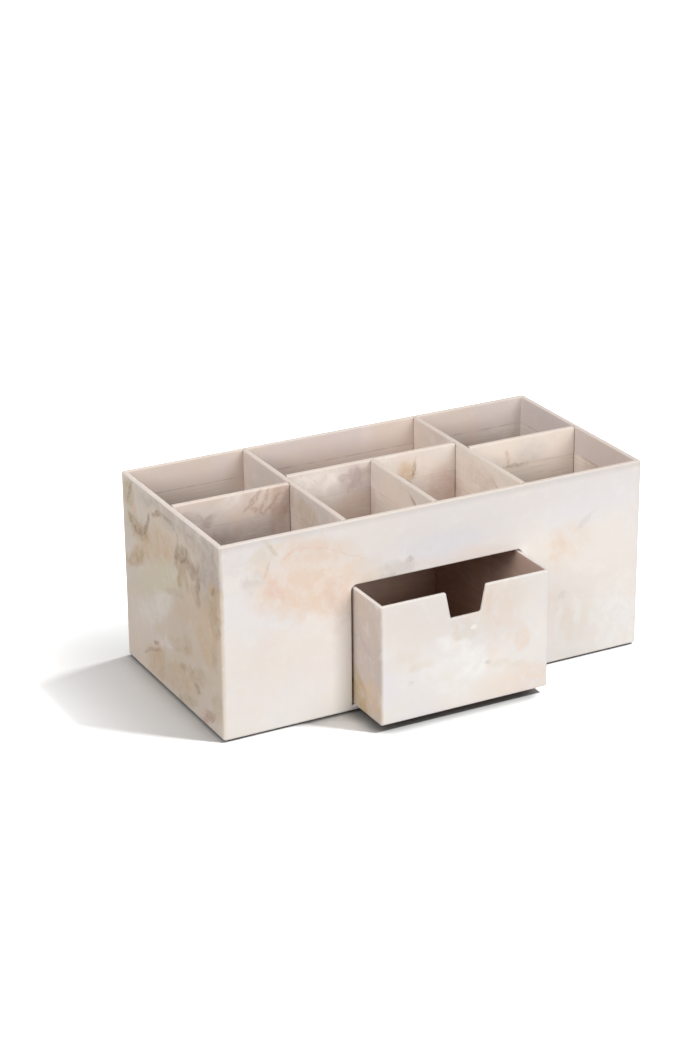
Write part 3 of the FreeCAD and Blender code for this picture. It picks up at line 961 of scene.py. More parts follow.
class Skin:
    """Points and four-cornered faces gathered for one mesh.

    Points closer than WELD are merged and shorter edges than SLIVER dissolved, both in millimetres; an
    edge is sharp where its faces turn by more than CREASE degrees.
    """

    WELD = 0.002
    SLIVER = 0.001
    CREASE = 38.0

    def __init__(self) -> None:
        """Starts empty."""
        self.points: List[np.ndarray] = []
        self.quads: List[np.ndarray] = []
        self.count = 0

    def add_points(self, points: np.ndarray) -> np.ndarray:
        """Adds points in millimetres.

        Args:
            points: the points, in an array of any shape whose last axis is x, y and z.

        Returns:
            Their numbers, in the same shape.
        """
        shape = points.shape[:-1]
        numbers = np.arange(self.count, self.count + int(np.prod(shape))).reshape(shape)
        self.points.append(points.reshape(-1, 3))
        self.count += numbers.size
        return numbers

    def add_quads(self, numbers: np.ndarray, keep: Optional[np.ndarray] = None) -> None:
        """Adds the faces between the rows and columns of a grid of point numbers whose last column joins
        its first.

        Args:
            numbers: the grid of point numbers, rows by columns.
            keep: which faces to keep, rows by columns of faces; all of them if left out.
        """
        further = np.roll(numbers, -1, axis=1)
        quads = np.stack([numbers[:-1], further[:-1], further[1:], numbers[1:]], axis=-1)
        self.quads.append(quads.reshape(-1, 4) if keep is None else quads[keep])

    def add_grid(self, points: np.ndarray, keep: Optional[np.ndarray] = None) -> np.ndarray:
        """Adds a grid of points with its faces and returns the point numbers."""
        numbers = self.add_points(points)
        self.add_quads(numbers, keep)
        return numbers

    def to_piece(self, name: str, thickness: float) -> bpy.types.Object:
        """Makes the mesh, gives the sheet its thickness behind its face and marks its sharp edges.

        Args:
            name: the piece's name.
            thickness: the sheet's thickness in millimetres.

        Returns:
            The finished object, at the origin.
        """
        mesh = bpy.data.meshes.new(name)
        mesh.from_pydata((np.concatenate(self.points) * MM).tolist(), [], np.concatenate(self.quads).tolist())
        shell = bmesh.new()
        shell.from_mesh(mesh)
        bmesh.ops.remove_doubles(shell, verts=shell.verts, dist=self.WELD * MM)
        bmesh.ops.dissolve_degenerate(shell, edges=shell.edges, dist=self.SLIVER * MM)
        shell.to_mesh(mesh)
        shell.free()
        rough = link(name + "_rough", mesh)
        solid = rough.modifiers.new("thickness", "SOLIDIFY")
        solid.thickness = thickness * MM
        solid.offset = -1.0
        final = bpy.data.meshes.new_from_object(rough.evaluated_get(bpy.context.evaluated_depsgraph_get()))
        bpy.data.objects.remove(rough)
        bpy.data.meshes.remove(mesh)
        final.name = name
        final.polygons.foreach_set("use_smooth", np.ones(len(final.polygons), dtype=bool))
        final.set_sharp_from_angle(angle=float(np.radians(self.CREASE)))
        return link(name, final)


# which way each side of a plan faces, from the front anticlockwise
SIDE_TURNS = np.radians([-90.0, 0.0, 90.0, 180.0])


@dataclass
class Plan:
    """A rounded rectangle seen from above, as stations that every level of a tray shares.

    Stations run anticlockwise from the front's left end. Going in by a depth moves each side in by it;
    the corner's radius falls by the same, but not below fold, which is how tightly paper turns in a
    corner. Stations further than calm from a side's end stay where they are. turn is how many stations a
    corner has.
    """

    half_x: float
    half_y: float
    corner: float
    front: np.ndarray
    back: np.ndarray
    ends: np.ndarray
    middle: Tuple[float, float] = (0.0, 0.0)
    fold: float = 0.3
    calm: float = 6.0
    turn: int = 7

    @classmethod
    def even(cls, half_x: float, half_y: float, corner: float, gap: float, **others: object) -> Plan:
        """A plan whose stations are a gap apart on all sides.

        Args:
            half_x, half_y: its half sizes.
            corner: its corner radius.
            gap: the distance between stations.
            others: the plan's other fields.

        Returns:
            The plan.
        """
        along, ends = (spaced((corner - half, gap), (half - corner, gap)) for half in (half_x, half_y))
        return cls(half_x, half_y, corner, along, along, ends, **others)

    def _squeeze(self, stations: np.ndarray, full: float, reach: float) -> np.ndarray:
        """Draws in the stations near a side's ends.

        Args:
            stations: the side's stations.
            full: where the last one lies.
            reach: where it should lie.

        Returns:
            The stations' new places.
        """
        calm = max(min(full, reach) - self.calm, 0.0)
        if calm <= 0.0:
            return stations * reach / full
        return np.interp(stations, [-full, -calm, calm, full], [-reach, -calm, calm, reach])

    def loop(self, depth: float, slide: Heights = 0.0) -> np.ndarray:
        """The stations' places: the four sides, and a quarter circle between each two.

        Args:
            depth: how far in from the outside.
            slide: how far each front station moves along the front.

        Returns:
            One row of x and y for each station.
        """
        half_x, half_y = self.half_x - depth, self.half_y - depth
        radius = min(max(self.corner - depth, self.fold), half_x, half_y)
        reach_x, reach_y = half_x - radius, half_y - radius
        full_x = self.half_x - self.corner
        front = self._squeeze(self.front, full_x, reach_x) + slide
        back = self._squeeze(self.back, full_x, reach_x)[::-1]
        ends = self._squeeze(self.ends, self.half_y - self.corner, reach_y)
        sides = [
            np.stack([front, np.full(front.size, -half_y)], axis=-1),
            np.stack([np.full(ends.size, half_x), ends], axis=-1),
            np.stack([back, np.full(back.size, half_y)], axis=-1),
            np.stack([np.full(ends.size, -half_x), ends[::-1]], axis=-1),
        ]
        centres = [(reach_x, -reach_y), (reach_x, reach_y), (-reach_x, reach_y), (-reach_x, -reach_y)]
        stations: List[np.ndarray] = []
        for side, centre, start in zip(sides, centres, SIDE_TURNS):
            angle = start + quarter(self.turn + 1)[:-1]
            stations += [side, np.stack([np.cos(angle), np.sin(angle)], axis=-1) * radius + centre]
        return np.concatenate(stations) + self.middle

    def level(self, depth: float, height: Heights, slide: Heights = 0.0) -> np.ndarray:
        """The stations' places at a height, or at one for each of them."""
        loop = self.loop(depth, slide)
        return np.column_stack([loop, np.broadcast_to(height, loop.shape[0])])

    @property
    def sizes(self) -> List[int]:
        """How many stations each side has, from the front anticlockwise."""
        return [self.front.size, self.ends.size, self.back.size, self.ends.size]

    def outward(self) -> np.ndarray:
        """The outward direction at each station, x and y."""
        turns = quarter(self.turn + 1)[:-1]
        angle = np.concatenate(
            [
                np.concatenate([np.full(count, start), start + turns])
                for count, start in zip(self.sizes, SIDE_TURNS)
            ]
        )
        return np.stack([np.cos(angle), np.sin(angle)], axis=-1)

    def walk(self) -> np.ndarray:
        """The distance walked round the outside to each station."""
        loop = self.loop(0.0)
        steps = np.linalg.norm(np.roll(loop, -1, axis=0) - loop, axis=1)
        return np.concatenate([[0.0], np.cumsum(steps)[:-1]])

    def creases(self) -> np.ndarray:
        """1 at the middle of each corner and 0 elsewhere, where folded paper meets on its mitre."""
        marks = np.zeros(sum(self.sizes) + 4 * self.turn)
        middles = np.cumsum(self.sizes) + self.turn * np.arange(4) + self.turn // 2
        marks[middles] = 1.0
        marks[middles - 1] = marks[middles + 1] = 0.35
        return marks


@dataclass
class FrontNotch:
    """A finger notch in a tray's front: its widths, depth, rounded corners and its stations' step.

    gap is the distance between the stations beside it. The lining dips under it by dip_below, and starts to
    dip_beside it.
    """

    top_half: float = 12.0
    bottom_half: float = 9.0
    depth: float = 15.0
    lip: float = 1.0
    root: float = 1.2
    step: float = 1.1
    gap: float = 2.2
    dip_below: float = 5.0
    dip_beside: float = 3.0

    @property
    def dip_half(self) -> float:
        """How far to either side of the middle the lining dips."""
        return self.top_half + self.dip_beside

    def path(self, reach: float, rim: float) -> np.ndarray:
        """The front's rim from left to right: level, round the lip, down, along the notch and back up.

        Straight runs are stepped evenly, and each corner is an arc that touches both of its runs.

        Args:
            reach: how far the front's stations reach to either side.
            rim: the rim's height.

        Returns:
            Rows of x, z and the direction into the board, x and z.
        """
        low = rim - self.depth
        half = [(self.bottom_half, low), (self.top_half, rim), (reach, rim)]
        marks = np.array([(-x, z) for x, z in half[::-1]] + half)
        runs = np.diff(marks, axis=0)
        ways = runs / np.linalg.norm(runs, axis=1)[:, None]
        radii = [0.0, self.lip, self.root, self.root, self.lip, 0.0]
        trims = [0.0] + [
            radii[k] * np.tan(np.arccos(np.clip(ways[k - 1] @ ways[k], -1, 1)) / 2) for k in range(1, 5)
        ] + [0.0]
        rows: List[np.ndarray] = []
        for k in range(5):
            start, end = marks[k] + ways[k] * trims[k], marks[k + 1] - ways[k] * trims[k + 1]
            step = self.gap if k in (0, 4) else self.step
            share = np.linspace(0.0, 1.0, max(2, round(np.linalg.norm(end - start) / step)) + 1)[:, None]
            normal = np.array([ways[k][1], -ways[k][0]])
            rows.append(np.hstack([start + (end - start) * share, np.tile(normal, (share.size, 1))]))
            if k < 4:
                rows.append(self._corner(end, ways[k], ways[k + 1], radii[k + 1]))
        return np.concatenate(rows)

    @staticmethod
    def _corner(start: np.ndarray, before: np.ndarray, after: np.ndarray, radius: float) -> np.ndarray:
        """The inner stations of a rounded corner: its centre plus its spoke, turned by evenly spaced angles.

        Args:
            start: where the corner starts.
            before, after: the directions before and after it.
            radius: its radius.

        Returns:
            Rows as path gives them.
        """
        turn = np.arctan2(before[0] * after[1] - before[1] * after[0], before @ after)
        centre = start + np.sign(turn) * radius * np.array([-before[1], before[0]])
        angles = np.linspace(0.0, turn, 7)[1:-1]
        cos, sin = np.cos(angles), np.sin(angles)
        turned, way = (
            np.stack([arm[0] * cos - arm[1] * sin, arm[0] * sin + arm[1] * cos], axis=-1)
            for arm in (start - centre, before)
        )
        return np.hstack([centre + turned, np.stack([way[:, 1], -way[:, 0]], axis=-1)])


@dataclass
class FrontOpening:
    """A window through a tray's front wall: its place, its rounded paper edge and the rim left round it."""

    half: float = 51.0
    low: float = 4.0
    high: float = 72.0
    corner: float = 3.0
    sill_corner: float = 0.5
    edge: float = 0.7
    margin: float = 3.4
    sill_margin: float = 1.5

    def outline(self, points: np.ndarray) -> Tuple[np.ndarray, np.ndarray]:
        """The nearest places on the window's outline.

        Beyond a corner's centre the nearest place lies on its arc, and elsewhere straight across.

        Args:
            points: rows of x and z outside the window.

        Returns:
            The nearest place to each, x and z, and the way from it into the board.
        """
        x, z = points[:, 0], points[:, 1]
        radius = np.where(z > (self.low + self.high) / 2, self.corner, self.sill_corner)
        core_x = np.clip(x, -self.half + radius, self.half - radius)
        core_z = np.clip(z, self.low + radius, self.high - radius)
        away = np.stack([x - core_x, z - core_z], axis=-1)
        way = away / np.linalg.norm(away, axis=1)[:, None]
        return np.stack([core_x, core_z], axis=-1) + way * radius[:, None], way


@dataclass
class WrappedTray(ABC):
    """An open box of board covered outside with printed paper that folds over its rim, and lined inside.

    flap is how far the wrap goes under the base, turn_in the height to which it goes down inside, and
    waves how far its faces lie in. seam is where its end overlaps its start, along the walk round it: it
    is thicker there by overlap, which fades out over overlap_fades. plan and lining_plan hold the
    stations, face_rows how far up the faces each level lies, rim the rim's height at each station, and
    into_x and into_z the way into the board below it.
    """

    CREASE_DEPTH = 0.11
    LEAST_TURN_IN = 6.0

    name: str
    body: Body
    half_x: float
    front_y: float
    back_y: float
    base: float
    top: float
    floor: float
    wall: float
    paper: float
    corner: float
    rim_round: float
    sole_round: float
    flap: float
    turn_in: float
    seed: float
    waves: float
    seam: float = 0.0
    overlap: float = 0.14
    overlap_fades: float = 16.0
    lining_lap: float = 0.4
    opening: Optional[FrontOpening] = None
    notch: Optional[FrontNotch] = None
    wrap_finish: Optional[Finish] = None
    lining_finish: Optional[Finish] = None
    stands_for: Tuple[str, str] = ("", "")
    plan: Plan = field(init=False)
    lining_plan: Plan = field(init=False)
    face_rows: np.ndarray = field(init=False)
    rim: np.ndarray = field(init=False)
    into_x: np.ndarray = field(init=False)
    into_z: np.ndarray = field(init=False)

    @abstractmethod
    def _lay_out(self) -> None:
        """Sets plan, lining_plan and face_rows, how far up the faces each level lies."""

    def _plan(self, front: np.ndarray, back: np.ndarray, gap: float) -> Plan:
        """A plan of the tray's outline, whose ends' stations are gap apart."""
        half_y = (self.back_y - self.front_y) / 2
        ends = spaced((self.corner - half_y, gap), (half_y - self.corner, gap))
        middle = (0.0, (self.back_y + self.front_y) / 2)
        return Plan(self.half_x, half_y, self.corner, front, back, ends, middle)

    def _follow_rim(self) -> None:
        """Sets the rim's height at each station and the way into the board, level or into the notch."""
        count = self.plan.walk().size
        self.rim, self.into_x, self.into_z = np.full(count, self.top), np.zeros(count), np.full(count, -1.0)
        if self.notch is not None:
            path = self.notch.path(self.half_x - self.corner, self.top)
            for line, column in ((self.rim, 1), (self.into_x, 2), (self.into_z, 3)):
                line[: path.shape[0]] = path[:, column]

    def _level(self, depth: float, height: Heights, slide_by: Optional[float] = None) -> np.ndarray:
        """One level of the wrap.

        Args:
            depth: how far in from the outside.
            height: its height, or one for each station.
            slide_by: how far the front stations move into the board along the front; the rim's rounding
                if left out.

        Returns:
            One row of x, y and z for each station.
        """
        slide = self.into_x[: self.plan.front.size] * (self.rim_round if slide_by is None else slide_by)
        return self.plan.level(depth, height, slide)

    def _rim_level(self, depth: float, angle: float) -> np.ndarray:
        """A level on the rim's rounding: rim_round times one minus the sine of angle below the rim's line."""
        into = self.rim_round * (1.0 - np.sin(angle))
        return self._level(depth, self.rim + self.into_z * into, into)

    def _wrap_levels(self) -> np.ndarray:
        """All the wrap's levels: under the base, up the outside, over the rim and down inside, where it
        lies a
        little unevenly: shallow waves in the faces, the seam's step and a crease across each rim corner."""
        start = self.rim + self.into_z * self.rim_round
        sole, walk = self.base + self.sole_round, self.plan.walk()
        rounds = [self.rim_round * (1 - np.cos(angle)) for angle in quarter(6)]
        under = [self._level(depth, self.base) for depth in np.linspace(self.flap, self.sole_round, 5)]
        under += [
            self._level(self.sole_round * (1.0 - np.sin(angle)), sole - self.sole_round * np.cos(angle))
            for angle in quarter(5)
        ]
        rows = [self._level(0.0, sole + (start - sole) * share) for share in self.face_rows[1:]]
        face = np.stack([under.pop(), *rows])
        rise = np.linspace(0.0, 1.0, face.shape[0])[:, None]
        swell = 0.5 + 0.5 * ripple(walk[None, :] + 40.0 * rise, self.seed + 3.0) * np.cos(9.0 * rise)
        inward = self.waves * swell * np.sin(np.pi * rise) ** 0.5 + self._seam_step(walk, rise)
        face[..., :2] -= self.plan.outward()[None] * inward[..., None]
        over = [self._rim_level(depth, angle) for depth, angle in zip(rounds, quarter(6))]
        flat = np.linspace(self.rim_round, self.wall - self.rim_round, 4)[1:-1]
        over += [self._rim_level(depth, np.pi / 2) for depth in flat]
        over += [
            self._rim_level(self.wall - self.rim_round * (1 - np.cos(angle)), angle)
            for angle in np.radians(np.linspace(90.0, 0.0, 7))
        ]
        rim = np.stack(over)
        rim[2:-3, :, 2] -= self.plan.creases() * self.CREASE_DEPTH
        lower = np.minimum(self.turn_in, self.rim - self.LEAST_TURN_IN) + HEM_WANDER * ripple(walk, self.seed)
        shares = np.linspace(0.0, 1.0, 7)[1:]
        inside = [self._level(self.wall, start + (lower - start) * share) for share in shares]
        return np.concatenate([np.stack(under), face, rim, np.stack(inside)])

    def _seam_step(self, walk: np.ndarray, rise: np.ndarray) -> Heights:
        """How far in the face lies past the seam: by a sheet at first, and less and less from there on.

        Args:
            walk: each station's distance round the tray.
            rise: each level's share of the way up the face.

        Returns:
            The depth of each level's stations.
        """
        if self.seam <= 0.0:
            return 0.0
        past = walk - self.seam
        within = (past > 0.0) & (past < self.overlap_fades)
        step = np.where(within, self.overlap * (1.0 - past / self.overlap_fades), 0.0)
        return step[None, :] * np.sin(np.pi * np.clip(rise, 0.02, 0.98)) ** 0.25

    def wrap(self) -> bpy.types.Object:
        """Makes the printed wrap."""
        skin = Skin()
        if self.opening is None:
            skin.add_grid(self._wrap_levels())
        else:
            self._wrap_with_window(skin, self._wrap_levels(), self.opening)
        return skin.to_piece(self.name + "_outer_wrap", self.paper)

    def _wrap_with_window(self, skin: Skin, levels: np.ndarray, window: FrontOpening) -> None:
        """Leaves a rectangle out of the front's grid, and joins it to the window's rounded edge.

        Rows of the joining strip go from the rectangle to the window's outline, round its edge by a quarter
        circle, and through the wall.

        Args:
            skin: what the faces are added to.
            levels: the wrap's levels.
            window: the window.
        """
        half, high = window.half + window.margin, window.high + window.margin
        low = window.low - window.sill_margin
        centre = middle_of_faces(levels)
        hole = (centre[..., 1] < self.front_y + 0.3) & (abs(centre[..., 0]) < half)
        hole &= (centre[..., 2] > low) & (centre[..., 2] < high)
        numbers = skin.add_grid(levels, ~hole)
        rows, columns = np.nonzero(hole)
        top, bottom, left, right = rows.max() + 1, rows.min(), columns.min(), columns.max() + 1
        border = np.concatenate([
            numbers[bottom, left:right], numbers[bottom:top, right], numbers[top, right:left:-1],
            numbers[top:bottom:-1, left],
        ])
        points = np.concatenate(skin.points)[border]
        flat, depth = points[:, [0, 2]], points[:, 1]
        nearest, way = window.outline(flat)
        rows = [
            (flat + (nearest + way * window.edge - flat) * share, depth + (self.front_y - depth) * share)
            for share in (0.4, 0.75, 1.0)
        ]
        for angle in quarter(5):
            out, inward = window.edge * (1.0 - np.sin(angle)), window.edge * (1.0 - np.cos(angle))
            rows.append((nearest + way * out, self.front_y + inward))
        through = np.linspace(window.edge, self.wall - OFF, 3)[1:]
        rows += [(nearest, self.front_y + inward) for inward in through]
        strips = [border] + [
            skin.add_points(np.column_stack([flat[:, 0], np.broadcast_to(depth, flat.shape[0]), flat[:, 1]]))
            for flat, depth in rows
        ]
        skin.add_quads(np.stack(strips))

    def lining(self) -> bpy.types.Object:
        """Makes the lining: down the inside from below the hem, and over the floor to its middle line."""
        plan, window, fold = self.lining_plan, self.opening, self.lining_plan.fold
        walk = plan.walk()
        top = np.full(walk.size, self.turn_in + self.lining_lap)
        if self.notch is not None:
            in_front = np.arange(walk.size) < plan.front.size
            below = in_front & (abs(plan.loop(0.0)[:, 0]) < self.notch.dip_half + 0.1)
            top[below] = self.top - self.notch.depth - self.notch.dip_below
        top += LINING_WANDER * ripple(walk, self.seed + 5.0)
        low = self.floor + fold
        if window is None:
            heights = [top + (low - top) * share for share in np.linspace(0.0, 1.0, 18)]
        else:
            heights = [top, top - 6.0, top - 13.0]
            heights += [window.high + 0.15, window.high - 20.0, window.high - 45.0, low]
        depth = self.wall + OFF
        levels = [plan.level(depth, height) for height in heights]
        levels += [
            plan.level(depth + fold * (1.0 - np.cos(angle)), self.floor + fold * (1.0 - np.sin(angle)))
            for angle in quarter(3)
        ]
        levels += [plan.level(inner, self.floor) for inner in np.linspace(depth + fold, plan.half_y, 8)[1:]]
        grid, keep = np.stack(levels), None
        if window is not None:
            centre = middle_of_faces(grid)
            in_front = centre[..., 1] < self.front_y + self.wall + 0.3
            inside = (abs(centre[..., 0]) < window.half) & (centre[..., 2] < window.high + 0.1)
            keep = ~(in_front & inside & (centre[..., 2] > self.floor + 0.01))
        skin = Skin()
        skin.add_grid(grid, keep)
        return skin.to_piece(self.name + "_glued_lining", self.paper)

    def build(self) -> None:
        """Builds and dresses the tray's wrap and its lining."""
        self._lay_out()
        self._follow_rim()
        settle(self.wrap(), self.wrap_finish, self.body, self.stands_for[0])
        settle(self.lining(), self.lining_finish, self.body, self.stands_for[1])


@dataclass
class Divider:
    """A board that parts two compartments: a printed cap folded over its top, and lining below."""

    name: str
    half_x: float
    half_y: float
    middle: Tuple[float, float]
    base: float
    seed: float
    top: float
    turn_in: float
    paper: float
    rim_round: float
    end_round: float = 0.6
    end_gap: float = 0.12
    recess: float = 0.1
    lap: float = 0.45
    gap: float = 2.2

    def _plan(self, recess: float) -> Plan:
        """The divider's plan, a little short of the walls, with its faces set in by recess."""
        short = (self.end_gap, recess) if self.half_x > self.half_y else (recess, self.end_gap)
        half_x, half_y = self.half_x - short[0], self.half_y - short[1]
        shape = {"middle": self.middle, "fold": OFF, "calm": 2.0, "turn": 5}
        return Plan.even(half_x, half_y, self.end_round, self.gap, **shape)

    def cap(self) -> bpy.types.Object:
        """Makes the cap: up both faces from the turned-in edge, round the top and closed along its middle."""
        plan = self._plan(0.0)
        start, middle = self.top - self.rim_round, min(plan.half_x, plan.half_y)
        lower = self.turn_in + HEM_WANDER * ripple(plan.walk(), self.seed)
        levels = [plan.level(0.0, lower + (start - lower) * share) for share in np.linspace(0.0, 1.0, 7)]
        levels += [
            plan.level(self.rim_round * (1.0 - np.cos(angle)), start + self.rim_round * np.sin(angle))
            for angle in quarter(6)
        ]
        levels += [plan.level(depth, self.top) for depth in np.linspace(self.rim_round, middle, 3)[1:]]
        skin = Skin()
        skin.add_grid(np.stack(levels))
        return skin.to_piece(self.name + "_folded_cap", self.paper)

    def lining(self) -> bpy.types.Object:
        """Makes the lining round the board below the cap."""
        plan = self._plan(self.recess)
        top = self.turn_in + self.lap + LINING_WANDER * ripple(plan.walk(), self.seed + 2.0)
        skin = Skin()
        shares = np.linspace(0.0, 1.0, 8)
        skin.add_grid(np.stack([plan.level(0.0, self.base + (top - self.base) * share) for share in shares]))
        return skin.to_piece(self.name + "_glued_lining", self.paper - self.recess)


# ---------------------------------------------------------------- the organiser


CASE_PAPER = MarbledPaper(
    "case_marbled_paper", Slot.PRINTED, OUTSIDE, CASE_CLOUDS, Covered(125.0, 61.0, 0.0, 108.0, 3.0),
    brim=108.0,
)
DIVIDER_PAPER = MarbledPaper("divider_marbled_paper", Slot.PRINTED, SHADED_INSIDE, DIVIDER_CLOUDS, brim=108.0)
DRAWER_PAPER = MarbledPaper(
    "drawer_marbled_paper", Slot.PRINTED, OUTSIDE, DRAWER_CLOUDS, Covered(49.8, 59.0, -31.0, 70.8, 1.9),
    # painted shade: the drawer's turned-in paper inside is darkened by this tint
    tint(203, 180, 170),
)
LINING = LiningPaper("case_lining_paper", Slot.LINING, clouds=DIVIDER_CLOUDS)
DRAWER_LINING = LiningPaper("drawer_lining_paper", Slot.LINING, SHADED_DRAWER_INSIDE, hem=58.8)
BOARD = Greyboard("pressed_greyboard", Slot.BOARD)
BASE_FELT = Felt("base_felt", Slot.BASE)


def settle(piece: bpy.types.Object, finish: Finish, body: Body, stands_for: str) -> None:
    """Gives a piece its finish and its body, and hides the CAD node that it stands for.

    Args:
        piece: the piece.
        finish: its finish.
        body: what it rides on.
        stands_for: the CAD node.
    """
    piece.data.materials.clear()
    piece.data.materials.append(finish.material())
    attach(piece, body.value)
    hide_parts(stands_for)
    LOG.info("%s: %d faces, %s, stands for %s", piece.name, len(piece.data.polygons), finish.name, stands_for)


@dataclass
class Case(WrappedTray):
    """The organiser's case: its wrap with the drawer's window, its lining and its dividers."""

    name: str = "case"
    body: Body = Body.CASE
    half_x: float = 125.0
    front_y: float = -61.0
    back_y: float = 61.0
    base: float = 1.0
    top: float = 108.0
    floor: float = 4.0
    wall: float = 3.0
    paper: float = 0.25
    corner: float = 1.5
    rim_round: float = 0.9
    sole_round: float = 1.2
    flap: float = 12.0
    turn_in: float = 92.5
    seed: float = 1.0
    waves: float = 0.05
    opening: FrontOpening = field(default_factory=FrontOpening)
    wrap_finish: Finish = CASE_PAPER
    lining_finish: Finish = LINING
    stands_for: Tuple[str, str] = ("outer_wrap", "inner_lining")
    shelf_top: float = 75.5
    bay_x: float = 53.0
    side_y: float = 2.3
    middle_y: float = 12.0
    seam_x: float = -100.0

    def _lay_out(self) -> None:
        """Lays out stations 2.6 mm apart, closer round the window's corners and at the seam."""
        window, reach, gap, close = self.opening, self.half_x - self.corner, 2.6, 0.6
        edge, tight = window.half + window.margin, window.half - window.corner - 0.5
        window_marks = ((-edge, close), (-tight, gap), (tight, close), (edge, gap))
        front = spaced((-reach, gap), *window_marks, (reach, gap))
        back = spaced((-reach, gap), (self.seam_x - 0.1, 0.1), (self.seam_x, gap), (reach, gap))
        self.plan = self._plan(front, back, 2.5)
        lined = spaced((-reach, gap), (-window.half, gap), (window.half, gap), (reach, gap))
        self.lining_plan = self._plan(lined, lined, 2.5)
        start, end = self.base + self.sole_round, self.top - self.rim_round
        rows = spaced(
            (start, 0.3), (window.low - window.sill_margin, 0.5), (window.low + 2.0, gap),
            (window.high - 4.0, close), (window.high + window.margin, gap), (end, gap),
        )
        self.face_rows = (rows - start) / (end - start)
        before = front.size + self.plan.ends.size + 2 * self.plan.turn
        self.seam = self.plan.walk()[before + int(np.argmin(abs(back[::-1] - self.seam_x)))] + 0.05

    def _dividers(self) -> List[Divider]:
        """The six dividers, named as their boards are."""
        inner_x, inner_y, half = self.half_x - self.wall, self.back_y - self.wall, self.wall / 2
        side = (inner_x - self.bay_x - half) / 2
        side_x = self.bay_x + half + side
        short = (inner_y + self.middle_y - half) / 2
        shared, shelf = (self.top, self.turn_in, self.paper, self.rim_round), self.shelf_top
        return [
            Divider("left_bay_panel", half, inner_y, (-self.bay_x, 0.0), self.floor, 1.1, *shared),
            Divider("right_bay_panel", half, inner_y, (self.bay_x, 0.0), self.floor, 2.7, *shared),
            Divider("left_divider", side, half, (-side_x, self.side_y), self.floor, 3.9, *shared),
            Divider("right_divider", side, half, (side_x, self.side_y), self.floor, 4.6, *shared),
            Divider("middle_divider", self.bay_x - half, half, (0.0, self.middle_y), shelf, 5.2, *shared),
            Divider("short_divider", half, short, (0.0, short - inner_y), shelf, 6.8, *shared),
        ]

    def build(self) -> None:
        """Builds and dresses everything that stays with the case."""
        super().build()
        for divider in self._dividers():
            settle(divider.cap(), DIVIDER_PAPER, Body.CASE, divider.name + "_cap")
            settle(divider.lining(), LINING, Body.CASE, divider.name + "_lining")


@dataclass
class Drawer(WrappedTray):
    """The drawer, pulled out a little: its wrap with the finger notch, and its lining."""

    name: str = "drawer"
    body: Body = Body.DRAWER
    half_x: float = 49.8
    front_y: float = -90.0
    back_y: float = 28.0
    base: float = 4.3
    top: float = 70.8
    floor: float = 6.2
    wall: float = 1.9
    paper: float = 0.2
    corner: float = 1.0
    rim_round: float = 0.5
    sole_round: float = 0.8
    flap: float = 9.0
    turn_in: float = 58.8
    seed: float = 7.0
    waves: float = 0.04
    notch: FrontNotch = field(default_factory=FrontNotch)
    wrap_finish: Finish = DRAWER_PAPER
    lining_finish: Finish = DRAWER_LINING
    stands_for: Tuple[str, str] = ("drawer_wrap", "drawer_lining")

    def _lay_out(self) -> None:
        """Lays out stations that follow the notch, and close ones where the lining dips under it."""
        reach, gap, dip = self.half_x - self.corner, 2.4, self.notch.dip_half
        front = self.notch.path(reach, self.top)[:, 0]
        self.plan = self._plan(front, spaced((-reach, gap), (reach, gap)), gap)
        dips = ((-dip - 0.3, 0.3), (-dip, gap), (dip, 0.3), (dip + 0.3, gap))
        lined = spaced((-reach, gap), *dips, (reach, gap))
        self.lining_plan = self._plan(lined, lined, gap)
        self.face_rows = np.linspace(0.0, 1.0, 25)


@dataclass
class CarriedOver:
    """The CAD nodes that stay: the boards, the shelf's paper, the underside sheet and the felt."""

    finishes: Dict[Slot, Finish] = field(
        default_factory=lambda: {
            Slot.PRINTED: CASE_PAPER,
            Slot.LINING: LINING,
            Slot.BOARD: BOARD,
            Slot.BASE: BASE_FELT,
        }
    )

    def slot_of(self, node: str) -> Slot:
        """Which finish a node takes, by its name.

        Args:
            node: the node's name.

        Returns:
            The slot whose finish it takes.
        """
        if node == "base_felt":
            return Slot.BASE
        if node.endswith("board"):
            return Slot.BOARD
        return Slot.LINING if node in ("shelf_wrap", "underside_sheet") or "lining" in node else Slot.PRINTED

    def dress(self, nodes: Dict[str, bpy.types.Object]) -> None:
        """Gives each node its finish.

        Args:
            nodes: the nodes by name.
        """
        for name, node in nodes.items():
            finish = self.finishes[self.slot_of(name)]
            for place in node.material_slots:
                place.material = finish.material()
            LOG.info("%s keeps its solid, %s", name, finish.name)


# ---------------------------------------------------------------- stage


class Lit(Enum):
    """What a lamp lights, and how its list of receivers, which holds the floor alone, is read."""

    FLOOR = "INCLUDE"
    PIECES = "EXCLUDE"


@dataclass
class Lamp:
    """A soft square lamp that looks at the organiser."""

    name: str
    place: Place
    side: float
    watts: float
    colour: Place = (1.0, 1.0, 1.0)
    lights: Lit = Lit.PIECES
    aim: Place = (0.0, 0.0, 0.05)

    def hang(self, floor: bpy.types.Object) -> None:
        """Hangs the lamp, turns it to its aim and has it light either the floor alone or all but the floor.

        Args:
            floor: the floor.
        """
        light = bpy.data.lights.new(self.name, "AREA")
        light.shape, light.size, light.energy, light.color = "SQUARE", self.side, self.watts, self.colour
        lamp = link(self.name, light)
        lamp.location = self.place
        lamp.rotation_mode = "QUATERNION"
        lamp.rotation_quaternion = (Vector(self.aim) - Vector(self.place)).to_track_quat("-Z", "Y")
        receivers = bpy.data.collections.new(self.name + "_receivers")
        receivers.objects.link(floor)
        receivers.collection_objects[0].light_linking.link_state = self.lights.value
        lamp.light_linking.receiver_collection = receivers


